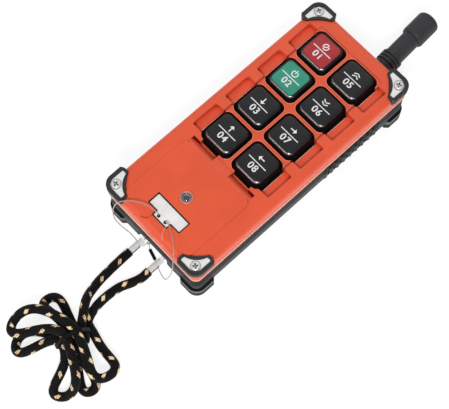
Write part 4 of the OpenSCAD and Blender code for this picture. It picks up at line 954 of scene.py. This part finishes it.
# Nail marks beside the magnetic key, from the panel down to the shoulder; the left one dark red as painted
# shade, the right one pale as a painted highlight
SHOULDER_Y = -61.3
NAIL_MARKS = {
    "left": (NAIL_MARK, [
        (-7.6, -63.2), (-6.6, -63.1), (-5.6, -62.5), (-4.9, -61.6), (-4.3, -60.2), (-3.9, -58.8),
    ]),
    "right": (PAINTED_HIGHLIGHT_ORANGE, [(3.9, -58.8), (4.3, -60.2), (5.0, -61.6), (6.0, -62.9), (7.2, -63.6)]),
}
for where, (finish, route) in NAIL_MARKS.items():
    name = "nail_mark_" + where
    run = smooth_route([at(px, py, 30.02 if py < SHOULDER_Y else 30.38) for px, py in route], 0.4 * MM)
    piece(name, tube(name, run, 0.16 * MM, BEAD_SIDES), ROOT, finish)

# Beads round the key holes, on the webs, pale as a painted highlight on the holes' edges
WEB_X, WEB_LOW = 18.15, -19.45
SHORTEST_RUN = 10


def web_highlight_bead(name, x, y):
    """A thin tube round one key's hole, as far as the webs reach."""
    loop = [(x + px, y + py) for px, py in round_outline(9.02, 9.02, 3.3)]
    kept = [abs(px) < WEB_X and WEB_LOW < py for px, py in loop]
    start = next(i for i in range(len(loop)) if kept[i] and not kept[i - 1])
    runs = [[]]
    for i in range(len(loop)):
        index = (start + i) % len(loop)
        if kept[index]:
            runs[-1].append(at(*loop[index], WEB_TOP))
        elif runs[-1]:
            runs.append([])
    long_runs = [points for points in runs if len(points) > SHORTEST_RUN]
    return joined(name, [tube(name, points, 0.17 * MM, BEAD_SIDES) for points in long_runs])


for name, (column, row, face_finish) in KEYS.items():
    label = name + "_web_highlight_bead"
    piece(label, web_highlight_bead(label, *key_place(column, row)), ROOT, WEB_EDGE_HIGHLIGHT)


# Turned pieces and closed bands
def closed_band(name, rings, flat):
    """A band whose last ring meets its first; a flat one has its faces turned outward."""
    mesh = loft(name, rings + rings[:1], False, False, smooth=not flat)
    bm = bmesh.new()
    bm.from_mesh(mesh)
    bmesh.ops.remove_doubles(bm, verts=bm.verts, dist=1e-7)
    if flat:
        bmesh.ops.recalc_face_normals(bm, faces=bm.faces)
    bm.to_mesh(mesh)
    bm.free()
    return mesh


def lathe(name, profile, place, steps=48, ring=False):
    """A turned mesh from (radius, height) pairs; a ring's profile closes on itself."""
    rings = []
    for r, z in profile:
        rings.append([
            at(place[0] + max(r, 0.01) * math.cos(2 * PI * k / steps),
               place[1] + max(r, 0.01) * math.sin(2 * PI * k / steps), z)
            for k in range(steps)
        ])
    return closed_band(name, rings, False) if ring else loft(name, rings)


def outline_ring(name, outlines):
    """A closed band through outlines of equally many points, each with its height."""
    return closed_band(name, [[at(px, py, z) for px, py in outline] for outline, z in outlines], True)


# Heads of the corner screws, with crossed slots
def cut_mesh(name, mesh, tools):
    """The mesh with the tools' meshes cut out of it."""
    bodies = []
    for index, data in enumerate([mesh, joined(name + "_tool", tools)]):
        obj = bpy.data.objects.new(f"{name}_{index}", data)
        scene.collection.objects.link(obj)
        bodies.append(obj)
    change = bodies[0].modifiers.new("cut", "BOOLEAN")
    change.operation = "DIFFERENCE"
    change.solver = "EXACT"
    change.use_self = True
    change.object = bodies[1]
    result = evaluated_mesh(bodies[0])
    for obj in bodies:
        bpy.data.objects.remove(obj)
    return result


SLOT_L, SLOT_W, SLOT_LOW, SLOT_HIGH = 3.1, 0.75, 30.45, 31.5


def slot_tool(name, place, turn):
    """A tapered bar that cuts one arm of a crossed slot."""
    c, s = math.cos(turn), math.sin(turn)
    rings = []
    for share, z in ((0.6, SLOT_LOW), (1, SLOT_HIGH)):
        ring = []
        for a, b in ((-1, -1), (1, -1), (1, 1), (-1, 1)):
            u, v = a * SLOT_L / 2 * share, b * SLOT_W / 2 * share
            ring.append(at(place[0] + u * c - v * s, place[1] + u * s + v * c, z))
        rings.append(ring)
    return loft(name, rings, smooth=False)


SCREW_AT = (25.3, 61.3)
HEAD = [
    (0, 10.1), (1.3, 10.1), (1.45, 10.6), (1.45, 30.12), (2.2, 30.12), (2.26, 30.3), (2.2, 30.62),
    (2.0, 30.86), (1.6, 31.04), (1.0, 31.14), (0.4, 31.17), (0, 31.17),
]
screws = []
for index, (sx, sy) in enumerate([(1, 1), (-1, 1), (-1, -1), (1, -1)]):
    place = (sx * SCREW_AT[0], sy * SCREW_AT[1])
    turns = [math.radians(25 + 40 * index + 90 * k) for k in range(2)]
    arms = [slot_tool(f"arm_{index}_{k}", place, turn) for k, turn in enumerate(turns)]
    screws.append(cut_mesh(f"screw_{index}", lathe(f"screw_{index}", HEAD, place), arms))
heads = joined("corner_screw_heads", screws)
piece("corner_screw_heads", heads, ROOT, SCREW, ("corner_screws",))

# Indicator: a clear dome in a rounded ring, with a dish below it
LED_AT = (0, -43.3)
piece("indicator_dome", lathe("indicator_dome", [
    (0, 26.62), (3.9, 26.62), (3.9, 27.58), (2.08, 27.6), (2.08, 30.2), (1.98, 30.55), (1.7, 30.86),
    (1.25, 31.1), (0.7, 31.24), (0.2, 31.28), (0, 31.28),
], LED_AT), ROOT, LENS, ("indicator_lens",))
piece("indicator_ring", lathe("indicator_ring", [
    (2.12, 27.62), (2.98, 27.62), (2.98, 30.42), (3.16, 30.44), (3.14, 30.62), (2.95, 30.78),
    (2.62, 30.84), (2.32, 30.74), (2.14, 30.5), (2.12, 30.3),
], LED_AT, ring=True), ROOT, BEZEL, ("indicator_bezel",))
piece("indicator_dish", lathe("indicator_dish", [
    (1.0, 29.3), (1.3, 29.75), (1.7, 30.12), (1.92, 30.12), (1.92, 29.95), (1.4, 29.5), (1.0, 29.1),
], LED_AT, ring=True), ROOT, DISH)

# A black ring in the gap round the magnetic key, and dark linings of its two holes, both painting the shade
# there
BAR_HALF, BAR_HIGH, BAR_LOW = 9.4, -53.4 + 2.8, -53.4 - 2.8
TAB_HALF, TAB_LOW = 4.1, BAR_LOW - 2.6
HOLE_AT = (2.05, -57.5)


def key_outline(grow):
    """The T shape of the magnetic key, grown outward."""
    half, high, low = BAR_HALF + grow, BAR_HIGH + grow, BAR_LOW - grow
    tab, tab_low = TAB_HALF + grow, TAB_LOW - grow
    return [
        (half, high), (-half, high), (-half, low), (-tab, low),
        (-tab, tab_low), (tab, tab_low), (tab, low), (half, low),
    ]


piece("key_gap_shade", outline_ring("key_gap_shade", [
    (key_outline(0.06), 29.2), (key_outline(0.39), 29.2), (key_outline(0.39), 30.41),
    (key_outline(0.5), 30.41), (key_outline(0.46), 30.47), (key_outline(0.08), 30.47),
]), ROOT, GASKET_AND_SHADE)
for side in (-1, 1):
    name = "hole_lining_" + side_name(side)
    piece(name, lathe(name, [
        (0.5, 27.9), (0.69, 27.9), (0.69, 30.1), (0.78, 30.12), (0.74, 30.16), (0.5, 30.14),
    ], (side * HOLE_AT[0], HOLE_AT[1]), 32, True), "arming_key", GASKET_AND_SHADE)


# Lip under the front shell, pale orange as a painted highlight along its lower edge
def case_outline(grow):
    return round_outline(28.7 + grow, 64.7 + grow, 3 + grow)


piece("shell_lip", outline_ring("shell_lip", [
    (case_outline(-0.08), 20.55), (case_outline(0.3), 20.55), (case_outline(0.38), 20.68),
    (case_outline(0.32), 20.86), (case_outline(-0.08), 21.3),
]), ROOT, PAINTED_HIGHLIGHT_ORANGE)

# Crimped sleeves on the lanyard's ferrules
FERRULE_X, FERRULE_Z = 6.3, 2.5
GROOVE_TURN = math.radians(78)


def sleeve_mesh(name, x):
    """A short tube with a groove pressed into it on two sides."""
    steps = 60
    rings = []
    for y, r in ((-72.75, 1.3), (-72.7, 1.58), (-72.4, 1.64), (-68.1, 1.64), (-67.8, 1.58), (-67.75, 1.3)):
        ring = []
        for k in range(steps):
            turn = 2 * PI * k / steps
            groove = max(0.0, 1 - abs(math.sin(turn - GROOVE_TURN)) / 0.16)
            size = r - 0.3 * min(1, groove * 1.6) if r > 1.5 else r
            ring.append(at(x + size * math.cos(turn), y, FERRULE_Z + size * math.sin(turn)))
        rings.append(ring)
    mesh = loft(name, rings, smooth=False)
    mesh.materials.append(SATIN)
    mesh.materials.append(SLEEVE_DARK_REFLECTION)
    # Faces turned to either side take the dark finish as a painted dark reflection; the rest are white as a
    # painted bright reflection.
    for polygon in mesh.polygons:
        polygon.material_index = 1 if abs(polygon.normal.x) > 0.8 else 0
    return mesh


for side in (-1, 1):
    name = "ferrule_sleeve_" + side_name(side)
    piece(name, sleeve_mesh(name, side * FERRULE_X), ROOT, None)


# Floor and light
def disk_light(name, place, size, energy):
    data = bpy.data.lights.new(name, "AREA")
    data.shape = "DISK"
    data.size = size
    data.energy = energy
    obj = bpy.data.objects.new(name, data)
    obj.location = place
    obj.rotation_euler = (target - Vector(place)).to_track_quat("-Z", "Y").to_euler()
    scene.collection.objects.link(obj)


FLOOR_HALF = 3
floor_corners = [(x * FLOOR_HALF, y * FLOOR_HALF, 0) for x, y in ((-1, -1), (1, -1), (1, 1), (-1, 1))]
floor = bpy.data.objects.new("floor", mesh_of("floor", floor_corners, [(0, 1, 2, 3)], False))
scene.collection.objects.link(floor)
floor_finish = Finish("floor_white", (0.35, 0.35, 0.35), 0.8, Emission_Strength=0.8)
floor_finish.shader.inputs["Emission Color"].default_value = (1, 1, 1, 1)
dress(floor, floor_finish.material)

world = bpy.data.worlds.new("world")
world.use_nodes = True
world.node_tree.nodes["Background"].inputs["Color"].default_value = (1, 1, 1, 1)
world.node_tree.nodes["Background"].inputs["Strength"].default_value = 0.32
scene.world = world
disk_light("strip_light", (-0.2, -0.85, 0.55), 0.26, 1.0)
disk_light("front_light", (0.45, -0.5, 0.8), 0.25, 4.7)
disk_light("back_light", (-0.5, 0.6, 0.65), 1.0, 2.4)
